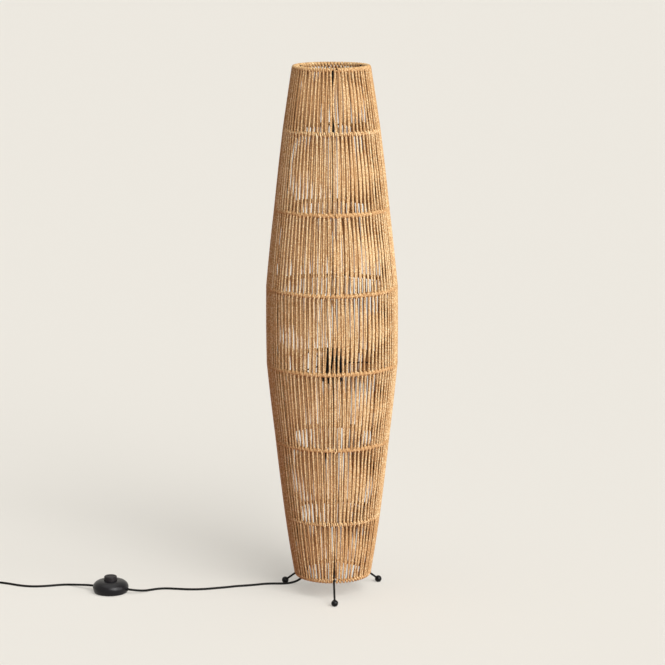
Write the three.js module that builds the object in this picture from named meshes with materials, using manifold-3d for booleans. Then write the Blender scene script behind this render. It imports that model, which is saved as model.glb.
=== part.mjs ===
// Rattan floor lamp: a barrel of eight steel rings on three rods with ball feet, wound in seven bays
// of paper cord, with a lampholder on a spider at the fifth ring, a cord with a foot switch and a plug.
// Millimetres, +Z up. The origin is on the floor under the shade's axis and -Y is the front.
// An azimuth is counted from the front towards +X.
import * as THREE from 'three';
import { mergeVertices } from 'three/addons/utils/BufferGeometryUtils.js';
import Module from 'manifold-3d';

const wasm = await Module();
wasm.setup();

// Clearances
const SEAT_GAP = 0.3;
const CUT_OVERRUN = 1;

// Shade frame: rings of wire, from the top ring down
const END_RING_RADIUS = 78.2;
const SECOND_RING_RADIUS = 98.2;
const THIRD_RING_RADIUS = 117.5;
const MIDDLE_RING_RADIUS = 135.5;
const BOTTOM_RING_HEIGHT = 44;
const END_BAY_HEIGHT = 131.5;
const BAY_HEIGHT = 167.4;
const RING_WIRE = 3;
const RING_SEGMENTS = 30;
const RING_SIDES = 5;

// Uprights, which carry on below the bottom ring as the legs
const LEG_COUNT = 3;
const LEG_AZIMUTH = 2;
const ROD = 4.5;
const ROD_SIDES = 8;
const ROD_TOP_RISE = 1.5;
const ROD_BEND_RADIUS = 6;
const BEND_STEPS = 4;
const FOOT_RADIUS = 119;
const BALL = 15;
const BALL_FLAT_DEPTH = 0.5;
const BALL_SEGMENTS = 16;
const BALL_STEPS = 7;

// Cord winding of the shade
const WINDING_CORD = 3.2;
const WINDING_CLEARANCE = 0.4;
const STRANDS_PER_BAY = 44;
const STRAND_WIDTH_SHARE = 0.56;
const HEM_RISE = 5.1;
const HEM_DROP = 3;

// Spider that holds the lampholder at the fifth ring
const SPIDER_RING = 4;
const HUB_THICKNESS = 2;
const HUB_RADIUS = 30;
const SPIDER_WIRE = 3;
const SPIDER_ARMS = 3;
const ARM_AZIMUTH = 86;

// Lampholder, upright in the hub
const HOLDER_SEGMENTS = 24;
const SLEEVE_RADIUS = 20;
const SLEEVE_WALL = 3;
const SLEEVE_RISE = 28;
const CAP_RADIUS = 22;
const CAP_DROP = 44;
const CAP_HEIGHT = 34;
const CAP_FLOOR = 2.5;
const CAP_CHAMFER = 4;
const SHADE_RING_HEIGHT = 5.5;
const SHADE_RING_RADIUS = 30;
const SHADE_RING_COLLAR = 3;
const SHADE_RING_LIP = 4;
const INSULATOR_HEIGHT = 15;
const SHELL_BORE = 27.4;
const SHELL_WALL = 0.9;
const SHELL_HEIGHT = 27;
const CONTACT_RADIUS = 3.5;
const CONTACT_HEIGHT = 3.6;
const GRIP_LENGTH = 18;
const GRIP_FLANGE_RADIUS = 8;
const GRIP_FLANGE_HEIGHT = 4;
const GRIP_NECK_RADIUS = 6;
const GRIP_TIP_RADIUS = 4;

// Mains cord
const CORD = 5;
const CORD_SIDES = 8;
const LAMP_RUN_SEGMENTS = 60;
const PLUG_RUN_SEGMENTS = 18;

// Coil that puts away the length towards the plug
const COIL_X = -788;
const COIL_Y = 27;
const COIL_OUTER_RADIUS = 34.5;
const COIL_PITCH = 5.5;
const COIL_TURNS_PER_LAYER = 2.25;
const COIL_STEPS_PER_TURN = 24;
const COIL_SIDES = 6;
const COIL_LEAD = 6;
const COIL_TAIL = 38;

// Foot switch
const SWITCH_X = -485.5;
const SWITCH_Y = -10;
const SWITCH_TURN = -20;
const SWITCH_SEGMENTS = 32;
const SWITCH_RADIUS = 39;
const SWITCH_HEIGHT = 27.5;
const SWITCH_WAIST_HEIGHT = 12;
const SWITCH_WALL = 2.2;
const COVER_FULLNESS_SHARE = 0.8;
const COVER_FOOT_HEIGHT = 1.5;
const COVER_FOOT_RADIUS = 36.2;
const PAD_HEIGHT = 1.2;
const PAD_INNER_RADIUS = 24;
const PAD_OUTER_RADIUS = 31;
const BASE_THICKNESS = 2.5;
const BUTTON_RADIUS = 14;
const BUTTON_TOP = 37;
const BUTTON_GUIDE_GAP = 0.5;
const BUTTON_FLANGE = 2.6;
const BUTTON_FLANGE_HEIGHT = 2;
const BUTTON_WALL = 3;
const BUTTON_EDGE = 1.6;
const SPRING_RADIUS = 7.5;
const SPRING_WIRE = 1.2;
const SPRING_TURNS = 5;
const SPRING_STEPS_PER_TURN = 10;
const BLOCK_WIDTH = 26;
const BLOCK_DEPTH = 30;
const BLOCK_HEIGHT = 9;
const CLAMP_LENGTH = 6;
const CLAMP_WIDTH = 13;
const CLAMP_RISE = 4;
const SWITCH_CORD_HEIGHT = 10.5;
const CORD_ENTRY_GAP = 0.4;
const SCREW_COUNT = 3;
const SCREW_CIRCLE = 26;
const SCREW_AZIMUTH = 0;
const SCREW_SHANK = 3;
const SCREW_HEAD = 5.6;
const SCREW_HEAD_HEIGHT = 1.6;
const SCREW_LENGTH = 9;
const SCREW_SEGMENTS = 10;
const POST_RADIUS = 3.6;

// Plug, flat two-pole
const PLUG_WIDTH = 35.3;
const PLUG_HEIGHT = 13.7;
const PLUG_LENGTH = 35;
const PLUG_REAR_WIDTH = 13;
const PLUG_REAR_HEIGHT = 10;
const PLUG_WAIST_WIDTH = 27;
const PLUG_CORNER_SHARE = 0.33;
const PIN_SPACING = 18.6;
const PIN = 4;
const PIN_LENGTH = 19;
const PIN_ROUND = 1;
const RELIEF_LENGTH = 25;
const RELIEF_REAR_RADIUS = 5;
const RELIEF_TIP_RADIUS = 3.3;
const RELIEF_RIBS = 3;
const RELIEF_GROOVE = 0.7;

const TURN = 2 * Math.PI;
const CIRCLE_DEGREES = 360;
const ringRadii = [
  END_RING_RADIUS, SECOND_RING_RADIUS, THIRD_RING_RADIUS, MIDDLE_RING_RADIUS,
  MIDDLE_RING_RADIUS, THIRD_RING_RADIUS, SECOND_RING_RADIUS, END_RING_RADIUS,
];
const bayHeights = ringRadii.slice(1).map((_, bay, bays) => (
  bay === 0 || bay === bays.length - 1 ? END_BAY_HEIGHT : BAY_HEIGHT));
const ringHeights = ringRadii.map((_, ring) => (
  bayHeights.slice(ring).reduce((sum, height) => sum + height, BOTTOM_RING_HEIGHT)));

const blackSteel = () => new THREE.MeshStandardMaterial({ color: 0x1b1a19, roughness: 0.45, metalness: 0.6 });
const blackPlastic = () => new THREE.MeshStandardMaterial({ color: 0x222124, roughness: 0.4, metalness: 0 });
const blackCable = () => new THREE.MeshStandardMaterial({ color: 0x171615, roughness: 0.6, metalness: 0 });
const paperCord = () => new THREE.MeshStandardMaterial({ color: 0xc8a06e, roughness: 0.85, metalness: 0 });
const brass = () => new THREE.MeshStandardMaterial({ color: 0xb5904c, roughness: 0.35, metalness: 1 });
const plated = () => new THREE.MeshStandardMaterial({ color: 0xb9b7b2, roughness: 0.3, metalness: 1 });
const ceramic = () => new THREE.MeshStandardMaterial({ color: 0xe6e0d4, roughness: 0.5, metalness: 0 });

/** Radians of an angle in degrees. */
const radians = (degrees) => degrees * Math.PI / 180;

/** A point at a radius and an azimuth, in degrees from the front towards +X. */
function polar(radius, azimuth, height) {
  const angle = radians(azimuth);
  return new THREE.Vector3(radius * Math.sin(angle), -radius * Math.cos(angle), height);
}

/** Merges shared corners, drops flat triangles and turns the faces outwards. */
function closed(geometry) {
  const bare = new THREE.BufferGeometry();
  bare.setAttribute('position', geometry.getAttribute('position').clone());
  if (geometry.index) bare.setIndex(geometry.index.clone());
  const merged = mergeVertices(bare);
  const corners = merged.getAttribute('position');
  const old = merged.index.array;
  const kept = [];
  let volume = 0;
  const [a, b, c] = [new THREE.Vector3(), new THREE.Vector3(), new THREE.Vector3()];
  for (let i = 0; i < old.length; i += 3) {
    const [p, q, r] = [old[i], old[i + 1], old[i + 2]];
    if (p === q || q === r || r === p) continue;
    kept.push(p, q, r);
    a.fromBufferAttribute(corners, p);
    b.fromBufferAttribute(corners, q);
    c.fromBufferAttribute(corners, r);
    volume += a.dot(b.cross(c));
  }
  if (volume < 0) kept.reverse();
  merged.setIndex(kept);
  merged.computeVertexNormals();
  return merged;
}

/** A solid for cutting and joining, from a closed geometry. */
function solid(geometry) {
  const merged = closed(geometry);
  return new wasm.Manifold(new wasm.Mesh({
    numProp: 3,
    vertProperties: new Float32Array(merged.getAttribute('position').array),
    triVerts: new Uint32Array(merged.index.array),
  }));
}

/** The geometry of a cut or joined solid. */
function geometryOf(body) {
  const mesh = body.getMesh();
  const geometry = new THREE.BufferGeometry();
  geometry.setAttribute('position', new THREE.BufferAttribute(new Float32Array(mesh.vertProperties), 3));
  geometry.setIndex(new THREE.BufferAttribute(new Uint32Array(mesh.triVerts), 1));
  return geometry;
}

/** Geometry from corner positions and the four-cornered faces between them. */
function facesBetween(positions, quads) {
  const geometry = new THREE.BufferGeometry();
  geometry.setAttribute('position', new THREE.Float32BufferAttribute(positions, 3));
  geometry.setIndex(quads.flatMap(([a, b, c, d]) => [a, b, c, a, c, d]));
  return geometry;
}

/** A profile of [radius, height] pairs turned about the Z axis. */
function turned(profile, segments) {
  const points = profile.map(([radius, height]) => new THREE.Vector2(radius, height));
  return closed(new THREE.LatheGeometry(points, segments).rotateX(Math.PI / 2));
}

/** A ring whose section is a rectangle. */
function turnedRing(inner, outer, bottom, top, segments) {
  return turned([[inner, bottom], [outer, bottom], [outer, top], [inner, top], [inner, bottom]], segments);
}

/** A round bar along +Z from one height to another. */
function roundBar(radius, bottom, top, segments) {
  return turned([[0, bottom], [radius, bottom], [radius, top], [0, top]], segments);
}

/** A tube of even sides along a smooth curve through points. */
function tubeAlong(points, radius, sides, steps) {
  const section = new THREE.Shape(Array.from({ length: sides }, (_, side) => new THREE.Vector2(
    radius * Math.cos(TURN * side / sides), radius * Math.sin(TURN * side / sides))));
  const extrudePath = new THREE.CatmullRomCurve3(points, false, 'centripetal');
  const whole = { steps: Math.round(steps), bevelEnabled: false, extrudePath };
  return closed(new THREE.ExtrudeGeometry(section, whole));
}

/** A rod mitred at the bends of a path that lies in one plane; across is that plane's unit normal. */
function bentRod(points, radius, sides, across) {
  const positions = [];
  points.forEach((point, i) => {
    const before = i > 0 ? point.clone().sub(points[i - 1]).normalize() : null;
    const after = i < points.length - 1 ? points[i + 1].clone().sub(point).normalize() : null;
    const along = (before ?? after).clone().add(after ?? before).normalize();
    const mitre = 1 / along.dot(before ?? after);
    const normal = across.clone().cross(along).multiplyScalar(mitre);
    for (let side = 0; side < sides; side += 1) {
      const angle = TURN * side / sides;
      const corner = point.clone().addScaledVector(across, radius * Math.cos(angle));
      corner.addScaledVector(normal, radius * Math.sin(angle));
      positions.push(...corner.toArray());
    }
  });
  const quads = [];
  for (let i = 0; i + 1 < points.length; i += 1) {
    for (let side = 0; side < sides; side += 1) {
      const next = (side + 1) % sides;
      quads.push([i * sides + side, i * sides + next, (i + 1) * sides + next, (i + 1) * sides + side]);
    }
  }
  const end = (points.length - 1) * sides;
  for (let side = 1; side + 1 < sides; side += 1) {
    quads.push([0, side + 1, side, side]);
    quads.push([end, end + side, end + side + 1, end + side + 1]);
  }
  return closed(facesBetween(positions, quads));
}

/** A body through eight-cornered sections: [x, width, height] with the corners cut by a share. */
function lofted(sections, cornerShare) {
  const near = 1 - cornerShare;
  const outlineShares = [
    [1, near], [near, 1], [-near, 1], [-1, near], [-1, -near], [-near, -1], [near, -1], [1, -near],
  ];
  const positions = sections.flatMap(([x, width, height]) => (
    outlineShares.flatMap(([across, up]) => [x, across * width / 2, up * height / 2])));
  const count = outlineShares.length;
  const quads = [];
  for (let i = 0; i + 1 < sections.length; i += 1) {
    for (let side = 0; side < count; side += 1) {
      const next = (side + 1) % count;
      quads.push([i * count + side, i * count + next, (i + 1) * count + next, (i + 1) * count + side]);
    }
  }
  const end = (sections.length - 1) * count;
  for (let side = 1; side + 1 < count; side += 1) {
    quads.push([0, side + 1, side, side]);
    quads.push([end, end + side, end + side + 1, end + side + 1]);
  }
  return closed(facesBetween(positions, quads));
}

/** Adds a named piece to a group and returns it. */
function add(group, name, geometry, material) {
  const piece = new THREE.Mesh(geometry, material);
  piece.name = name;
  group.add(piece);
  return piece;
}

/** The eight wire rings, from the top down. */
function frameRings() {
  const group = new THREE.Group();
  ringRadii.forEach((radius, ring) => {
    const torus = new THREE.TorusGeometry(radius, RING_WIRE / 2, RING_SIDES, RING_SEGMENTS);
    const piece = add(group, `ring_${ring + 1}`, closed(torus), blackSteel());
    piece.rotation.z = radians(LEG_AZIMUTH - 90);
    piece.position.z = ringHeights[ring];
  });
  return group;
}

const rodInset = RING_WIRE / 2 + SEAT_GAP + ROD / 2;
const ballCentreHeight = BALL / 2 - BALL_FLAT_DEPTH;

/** The path of an upright in its own plane, as [radius, height], down to its end in the ball. */
function uprightProfile(endExtension) {
  const ringX = END_RING_RADIUS;
  const ringZ = BOTTOM_RING_HEIGHT;
  const down = ringRadii.slice(0, -1).map((radius, ring) => [
    radius - rodInset, ringHeights[ring] + (ring === 0 ? ROD_TOP_RISE : 0)]);
  const reach = Math.hypot(FOOT_RADIUS - ringX, ringZ - ballCentreHeight);
  const toRing = Math.atan2(ringZ - ballCentreHeight, FOOT_RADIUS - ringX);
  const slope = toRing - Math.asin(rodInset / reach);
  const bendAngle = Math.PI / 2 - slope;
  const middle = bendAngle / 2;
  const offset = ROD_BEND_RADIUS - rodInset;
  const bendX = ringX + offset * Math.cos(middle);
  const bendZ = ringZ + offset * Math.sin(middle);
  for (let step = 0; step <= BEND_STEPS; step += 1) {
    const angle = Math.PI + bendAngle * step / BEND_STEPS;
    down.push([bendX + ROD_BEND_RADIUS * Math.cos(angle), bendZ + ROD_BEND_RADIUS * Math.sin(angle)]);
  }
  const [lastX, lastZ] = down[down.length - 1];
  const run = Math.hypot(FOOT_RADIUS - lastX, ballCentreHeight - lastZ);
  const share = (run + endExtension) / run;
  down.push([lastX + (FOOT_RADIUS - lastX) * share, lastZ + (ballCentreHeight - lastZ) * share]);
  return down;
}

/** One upright at an azimuth, as a rod of a given radius. */
function uprightRod(azimuth, radius, endExtension) {
  const points = uprightProfile(endExtension).map(([out, height]) => polar(out, azimuth, height));
  const angle = radians(azimuth);
  const across = new THREE.Vector3(Math.cos(angle), Math.sin(angle), 0);
  return bentRod(points, radius, ROD_SIDES, across);
}

/** A ball foot with a small flat on the floor and a blind hole for its rod. */
function ballFoot(azimuth) {
  const radius = BALL / 2;
  const start = Math.asin(ballCentreHeight / radius);
  const profile = [[0, 0]];
  for (let step = 0; step <= BALL_STEPS; step += 1) {
    const angle = -start + (start + Math.PI / 2) * step / BALL_STEPS;
    const out = step === BALL_STEPS ? 0 : radius * Math.cos(angle);
    profile.push([out, ballCentreHeight + radius * Math.sin(angle)]);
  }
  const centre = polar(FOOT_RADIUS, azimuth, 0);
  const ball = turned(profile, BALL_SEGMENTS).translate(centre.x, centre.y, 0);
  const hole = uprightRod(azimuth, ROD / 2 + SEAT_GAP, SEAT_GAP);
  return closed(geometryOf(solid(ball).subtract(solid(hole))));
}

const legAzimuths = Array.from({ length: LEG_COUNT }, (_, leg) => (
  LEG_AZIMUTH + CIRCLE_DEGREES * leg / LEG_COUNT));
const legNames = ['front', 'right', 'left'];

/** The three uprights and their ball feet. */
function uprightsAndFeet() {
  const group = new THREE.Group();
  legAzimuths.forEach((azimuth, leg) => {
    add(group, `upright_${legNames[leg]}`, uprightRod(azimuth, ROD / 2, 0), blackSteel());
    add(group, `ball_foot_${legNames[leg]}`, ballFoot(azimuth), blackSteel());
  });
  return group;
}

const hemInset = RING_WIRE / 2 + WINDING_CLEARANCE;
const hemOutset = hemInset + WINDING_CORD;
const bayCornersPerEdge = 6;

/** The indices of a bay's six corners at one strand edge. */
function bayCorners(edge) {
  return Array.from({ length: bayCornersPerEdge }, (_, corner) => edge * bayCornersPerEdge + corner);
}

/** The edges of the strands round a bay, as azimuths in turn: start and end of each strand. */
function strandEdges(bay) {
  const pitch = CIRCLE_DEGREES / STRANDS_PER_BAY;
  const shift = bay % 2 === 0 ? 0 : pitch / 2;
  return Array.from({ length: STRANDS_PER_BAY }, (_, strand) => {
    const middle = LEG_AZIMUTH + shift + pitch * (strand + 1 / 2);
    return [middle - pitch * STRAND_WIDTH_SHARE / 2, middle + pitch * STRAND_WIDTH_SHARE / 2];
  }).flat();
}

/**
 * The winding of one bay as one body: a hem round the upper ring and the strands that hang from it
 * down to the next hem. Each azimuth has four hem corners and two corners at the strands' lower ends.
 */
function ropeBay(bay) {
  const upper = ringRadii[bay];
  const lower = ringRadii[bay + 1];
  const hemTop = ringHeights[bay] + HEM_RISE;
  const hemBottom = ringHeights[bay] - HEM_DROP;
  const strandEnd = ringHeights[bay + 1] + HEM_RISE + SEAT_GAP;
  const edges = strandEdges(bay);
  const positions = edges.flatMap((azimuth) => [
    polar(upper + hemInset, azimuth, hemBottom), polar(upper + hemOutset, azimuth, hemBottom),
    polar(upper + hemOutset, azimuth, hemTop), polar(upper + hemInset, azimuth, hemTop),
    polar(lower + hemInset, azimuth, strandEnd), polar(lower + hemOutset, azimuth, strandEnd),
  ].flatMap((corner) => corner.toArray()));
  const quads = [];
  edges.forEach((_, edge) => {
    const [a, b, d, f, a2, b2] = bayCorners(edge);
    const [an, bn, dn, fn, a2n, b2n] = bayCorners((edge + 1) % edges.length);
    quads.push([b, bn, dn, d], [d, dn, fn, f], [f, fn, an, a]);
    if (edge % 2 === 1) {
      quads.push([a, an, bn, b]);
    } else {
      quads.push([bn, b, b2, b2n], [a, an, a2n, a2], [b, a, a2, b2], [an, bn, b2n, a2n], [b2n, b2, a2, a2n]);
    }
  });
  return closed(facesBetween(positions, quads));
}

/** The hem round the bottom ring, parted where the legs pass under it. */
function bottomHem() {
  const inner = END_RING_RADIUS + hemInset;
  const outer = END_RING_RADIUS + hemOutset;
  const hem = turnedRing(inner, outer, BOTTOM_RING_HEIGHT - HEM_RISE, BOTTOM_RING_HEIGHT + HEM_RISE,
    STRANDS_PER_BAY);
  const legs = legAzimuths.map((azimuth) => solid(uprightRod(azimuth, ROD / 2 + SEAT_GAP, 0)));
  const parted = legs.reduce((body, leg) => body.subtract(leg), solid(hem));
  return closed(geometryOf(parted));
}

/** The seven wound bays and the bottom hem. */
function shadeWinding() {
  const group = new THREE.Group();
  bayHeights.forEach((_, bay) => add(group, `winding_bay_${bay + 1}`, ropeBay(bay), paperCord()));
  add(group, 'winding_bottom_hem', bottomHem(), paperCord());
  return group;
}

const hubHeight = ringHeights[SPIDER_RING];
const holderClear = SLEEVE_RADIUS + SEAT_GAP;

/** The flat hub ring and its three arms to the fifth ring. */
function spider() {
  const group = new THREE.Group();
  const hub = turnedRing(holderClear, HUB_RADIUS, hubHeight - HUB_THICKNESS / 2, hubHeight + HUB_THICKNESS / 2,
    HOLDER_SEGMENTS);
  add(group, 'spider_hub', hub, blackSteel());
  const from = HUB_RADIUS + SEAT_GAP;
  const to = ringRadii[SPIDER_RING] - RING_WIRE / 2 - SEAT_GAP;
  for (let arm = 0; arm < SPIDER_ARMS; arm += 1) {
    const bar = roundBar(SPIDER_WIRE / 2, from, to, ROD_SIDES).rotateX(Math.PI / 2);
    const piece = add(group, `spider_arm_${arm + 1}`, bar, blackSteel());
    piece.rotation.z = radians(ARM_AZIMUTH + CIRCLE_DEGREES * arm / SPIDER_ARMS);
    piece.position.z = hubHeight;
  }
  return group;
}

/** The lampholder's pieces, clamped to the hub by two shade rings. */
function lampholder() {
  const group = new THREE.Group();
  const capBottom = hubHeight - CAP_DROP;
  const capFloor = capBottom + CAP_FLOOR;
  const capTop = capBottom + CAP_HEIGHT;
  add(group, 'lampholder_cap', turned([
    [0, capBottom], [CAP_RADIUS - CAP_CHAMFER, capBottom], [CAP_RADIUS, capBottom + CAP_CHAMFER],
    [CAP_RADIUS, capTop], [holderClear, capTop], [holderClear, capFloor], [0, capFloor],
  ], HOLDER_SEGMENTS), blackPlastic());
  const sleeveBottom = capFloor + SEAT_GAP;
  const bore = SLEEVE_RADIUS - SLEEVE_WALL;
  add(group, 'lampholder_sleeve', turnedRing(bore, SLEEVE_RADIUS, sleeveBottom, hubHeight + SLEEVE_RISE,
    HOLDER_SEGMENTS), blackPlastic());
  const insulatorTop = sleeveBottom + INSULATOR_HEIGHT;
  add(group, 'lampholder_insulator', roundBar(bore - SEAT_GAP, sleeveBottom, insulatorTop, HOLDER_SEGMENTS),
    ceramic());
  const shellBottom = insulatorTop + SEAT_GAP;
  add(group, 'screw_shell', turnedRing(SHELL_BORE / 2, SHELL_BORE / 2 + SHELL_WALL, shellBottom,
    shellBottom + SHELL_HEIGHT, HOLDER_SEGMENTS), brass());
  add(group, 'centre_contact', roundBar(CONTACT_RADIUS, shellBottom, shellBottom + CONTACT_HEIGHT, ROD_SIDES),
    brass());
  const lowerTop = hubHeight - HUB_THICKNESS / 2 - SEAT_GAP;
  const upperBottom = hubHeight + HUB_THICKNESS / 2 + SEAT_GAP;
  const collar = holderClear + SHADE_RING_COLLAR;
  add(group, 'shade_ring_lower', turned([
    [holderClear, lowerTop], [SHADE_RING_RADIUS, lowerTop], [SHADE_RING_RADIUS, lowerTop - SHADE_RING_LIP],
    [collar, lowerTop - SHADE_RING_HEIGHT], [holderClear, lowerTop - SHADE_RING_HEIGHT],
    [holderClear, lowerTop],
  ], HOLDER_SEGMENTS), blackPlastic());
  add(group, 'shade_ring_upper', turned([
    [holderClear, upperBottom], [SHADE_RING_RADIUS, upperBottom],
    [SHADE_RING_RADIUS, upperBottom + SHADE_RING_LIP],
    [collar, upperBottom + SHADE_RING_HEIGHT], [holderClear, upperBottom + SHADE_RING_HEIGHT],
    [holderClear, upperBottom],
  ], HOLDER_SEGMENTS), blackPlastic());
  const gripTop = capBottom - SEAT_GAP;
  add(group, 'cord_grip', turned([
    [0, gripTop], [GRIP_FLANGE_RADIUS, gripTop], [GRIP_FLANGE_RADIUS, gripTop - GRIP_FLANGE_HEIGHT],
    [GRIP_NECK_RADIUS, gripTop - GRIP_FLANGE_HEIGHT], [GRIP_TIP_RADIUS, gripTop - GRIP_LENGTH],
    [0, gripTop - GRIP_LENGTH],
  ], HOLDER_SEGMENTS), blackPlastic());
  return group;
}

const gripEnd = hubHeight - CAP_DROP - SEAT_GAP - GRIP_LENGTH - SEAT_GAP;
const clampFace = BLOCK_WIDTH / 2 + SEAT_GAP + CLAMP_LENGTH;

/** A point on the switch's cord axis, at a distance from its middle along +X before it is turned. */
function onSwitchAxis(distance) {
  const angle = radians(SWITCH_TURN);
  return new THREE.Vector3(SWITCH_X + distance * Math.cos(angle), SWITCH_Y + distance * Math.sin(angle),
    SWITCH_CORD_HEIGHT);
}

// The cord from the lampholder down inside the shade, out under the bottom ring and over the floor.
const lampRunPoints = [
  [0, 0, gripEnd], [-0.2, 0.2, 442], [-1.5, 1.4, 430], [-4.6, 4.1, 410], [-8.6, 7.8, 380], [-12.8, 11.6, 335],
  [-17, 15.3, 285], [-21.8, 19.6, 230], [-27.4, 24.6, 180], [-34, 30.4, 140], [-42, 37.3, 103], [-48.6, 42.6, 76],
  [-52.3, 45.6, 57], [-54.4, 47.6, 43], [-57.4, 50.4, 31], [-62.4, 53.6, 20], [-69.6, 55.4, 11.4],
  [-79, 53.4, 5.6], [-90.5, 48.6, 3], [-104, 43.8, 2.5], [-120, 42.6, 2.5], [-137, 42.4, 2.5], [-152, 40, 2.5],
  [-170, 34, 2.5], [-190, 28.6, 2.5], [-212, 23.6, 2.5], [-234, 15.8, 2.5], [-256, 9.4, 2.5], [-278, 3.4, 2.5],
  [-300, 0.4, 2.5], [-322, 1.4, 2.5], [-346, 5.4, 2.5], [-366, 8, 2.5], [-384, 4.6, 2.6], [-397, -3, 3],
  [-408, -11.6, 4], [-418, -18.8, 5.8], [-428, -23.8, 7.9], [-437, -26.2, 9.6],
].map((point) => new THREE.Vector3(...point));

// The cord from the switch to the coil.
const plugRunPoints = [
  [-536, 9.4, 10], [-547, 16.2, 8.4], [-558, 24.6, 6.2], [-569, 32.2, 4.2], [-580.5, 37, 2.9], [-593, 38, 2.5],
  [-606, 35.4, 2.5], [-620, 31.4, 2.5], [-634, 28, 2.5], [-648, 26, 2.5], [-662, 26, 2.5], [-676, 28.4, 2.5],
  [-690, 33.4, 2.5], [-704, 40.4, 2.5], [-718, 47.8, 2.5], [-733, 54.4, 2.5], [-748, 58.8, 2.5],
  [-762, 60.9, 2.5], [-774, 61.5, 2.5],
].map((point) => new THREE.Vector3(...point));

const coilStartX = COIL_X + COIL_LEAD;
const coilY = COIL_Y + COIL_OUTER_RADIUS;

/**
 * The coil's centre line: in by a steady spiral on the floor, up one layer in the half turn where
 * the spiral turns back, out again on the upper layer, and off towards the plug.
 */
function coilPoints() {
  const layer = COIL_TURNS_PER_LAYER;
  const total = 2 * layer + 1 / 2;
  const steps = Math.round(total * COIL_STEPS_PER_TURN);
  const low = CORD / 2;
  const points = [new THREE.Vector3(coilStartX - SEAT_GAP, coilY, low)];
  points.push(new THREE.Vector3(COIL_X + COIL_LEAD / 2, coilY, low));
  for (let step = 0; step <= steps; step += 1) {
    const turns = total * step / steps;
    const fromMiddle = Math.abs(turns - total / 2);
    const radius = COIL_OUTER_RADIUS - COIL_PITCH * (total / 2 - fromMiddle);
    const climb = THREE.MathUtils.smoothstep(turns, layer, layer + 1 / 2);
    const angle = TURN * (turns + 1 / 4);
    points.push(new THREE.Vector3(COIL_X + radius * Math.cos(angle), COIL_Y + radius * Math.sin(angle),
      low + COIL_PITCH * climb));
  }
  const high = low + COIL_PITCH;
  const endX = COIL_X - COIL_TAIL;
  const plugHeight = PLUG_HEIGHT / 2;
  points.push(new THREE.Vector3(COIL_X - COIL_TAIL / 3, coilY, high));
  points.push(new THREE.Vector3(endX + CORD, coilY, plugHeight), new THREE.Vector3(endX, coilY, plugHeight));
  return points;
}

/** The least gap between stretches of a tube that lie more than a quarter turn apart on it. */
function leastGap(points, diameter, apart) {
  let least = Infinity;
  for (let i = 0; i < points.length; i += 1) {
    for (let j = i + apart; j < points.length; j += 1) least = Math.min(least, points[i].distanceTo(points[j]));
  }
  return least - diameter;
}

/** The cord in three stretches: lamp to switch, switch to coil, and the coil with its lead to the plug. */
function mainsCord() {
  const group = new THREE.Group();
  const toSwitch = [...lampRunPoints, onSwitchAxis(SWITCH_RADIUS),
    onSwitchAxis(clampFace + SEAT_GAP + CORD), onSwitchAxis(clampFace + SEAT_GAP)];
  add(group, 'cord_lamp_run', tubeAlong(toSwitch, CORD / 2, CORD_SIDES, LAMP_RUN_SEGMENTS), blackCable());
  const fromSwitch = [onSwitchAxis(-clampFace - SEAT_GAP), onSwitchAxis(-clampFace - SEAT_GAP - CORD),
    onSwitchAxis(-SWITCH_RADIUS), ...plugRunPoints, new THREE.Vector3(coilStartX, coilY, CORD / 2)];
  add(group, 'cord_plug_run', tubeAlong(fromSwitch, CORD / 2, CORD_SIDES, PLUG_RUN_SEGMENTS), blackCable());
  const coil = coilPoints();
  const steps = coil.length + 1;
  add(group, 'cord_coil', tubeAlong(coil, CORD / 2, COIL_SIDES, steps), blackCable());
  const gap = leastGap(coil, CORD, COIL_STEPS_PER_TURN / 4);
  console.log(`cord_coil least gap to itself: ${gap.toFixed(2)} mm`);
  return group;
}

// How far round the cover's quarter arc its outline has corners.
const coverArcShares = [0.3, 0.55, 0.75, 0.9];

/** The cover's outer outline from its foot up to the button hole, as [radius, height], moved in by an inset. */
function coverOutline(inset) {
  const hole = BUTTON_RADIUS + BUTTON_GUIDE_GAP;
  const rise = SWITCH_HEIGHT - SWITCH_WAIST_HEIGHT - inset;
  const reach = SWITCH_RADIUS - hole - inset;
  const outline = [[COVER_FOOT_RADIUS - inset, COVER_FOOT_HEIGHT]];
  outline.push([SWITCH_RADIUS - inset, SWITCH_WAIST_HEIGHT]);
  for (const share of coverArcShares) {
    const angle = share * Math.PI / 2;
    const out = reach * Math.cos(angle) ** COVER_FULLNESS_SHARE;
    outline.push([hole + out, SWITCH_WAIST_HEIGHT + rise * Math.sin(angle)]);
  }
  outline.push([hole, SWITCH_WAIST_HEIGHT + rise]);
  return outline;
}

const baseBottom = PAD_HEIGHT + SEAT_GAP;
const baseTop = baseBottom + BASE_THICKNESS;
const screwAngles = Array.from({ length: SCREW_COUNT }, (_, screw) => (
  SCREW_AZIMUTH + CIRCLE_DEGREES * screw / SCREW_COUNT));

/** A bar along the cord axis through one side wall, to cut the cord's entry. */
function cordEntry(side) {
  const radius = CORD / 2 + CORD_ENTRY_GAP;
  const bar = roundBar(radius, clampFace, SWITCH_RADIUS + CUT_OVERRUN, CORD_SIDES);
  return solid(bar.rotateY(side * Math.PI / 2).translate(0, 0, SWITCH_CORD_HEIGHT));
}

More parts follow.
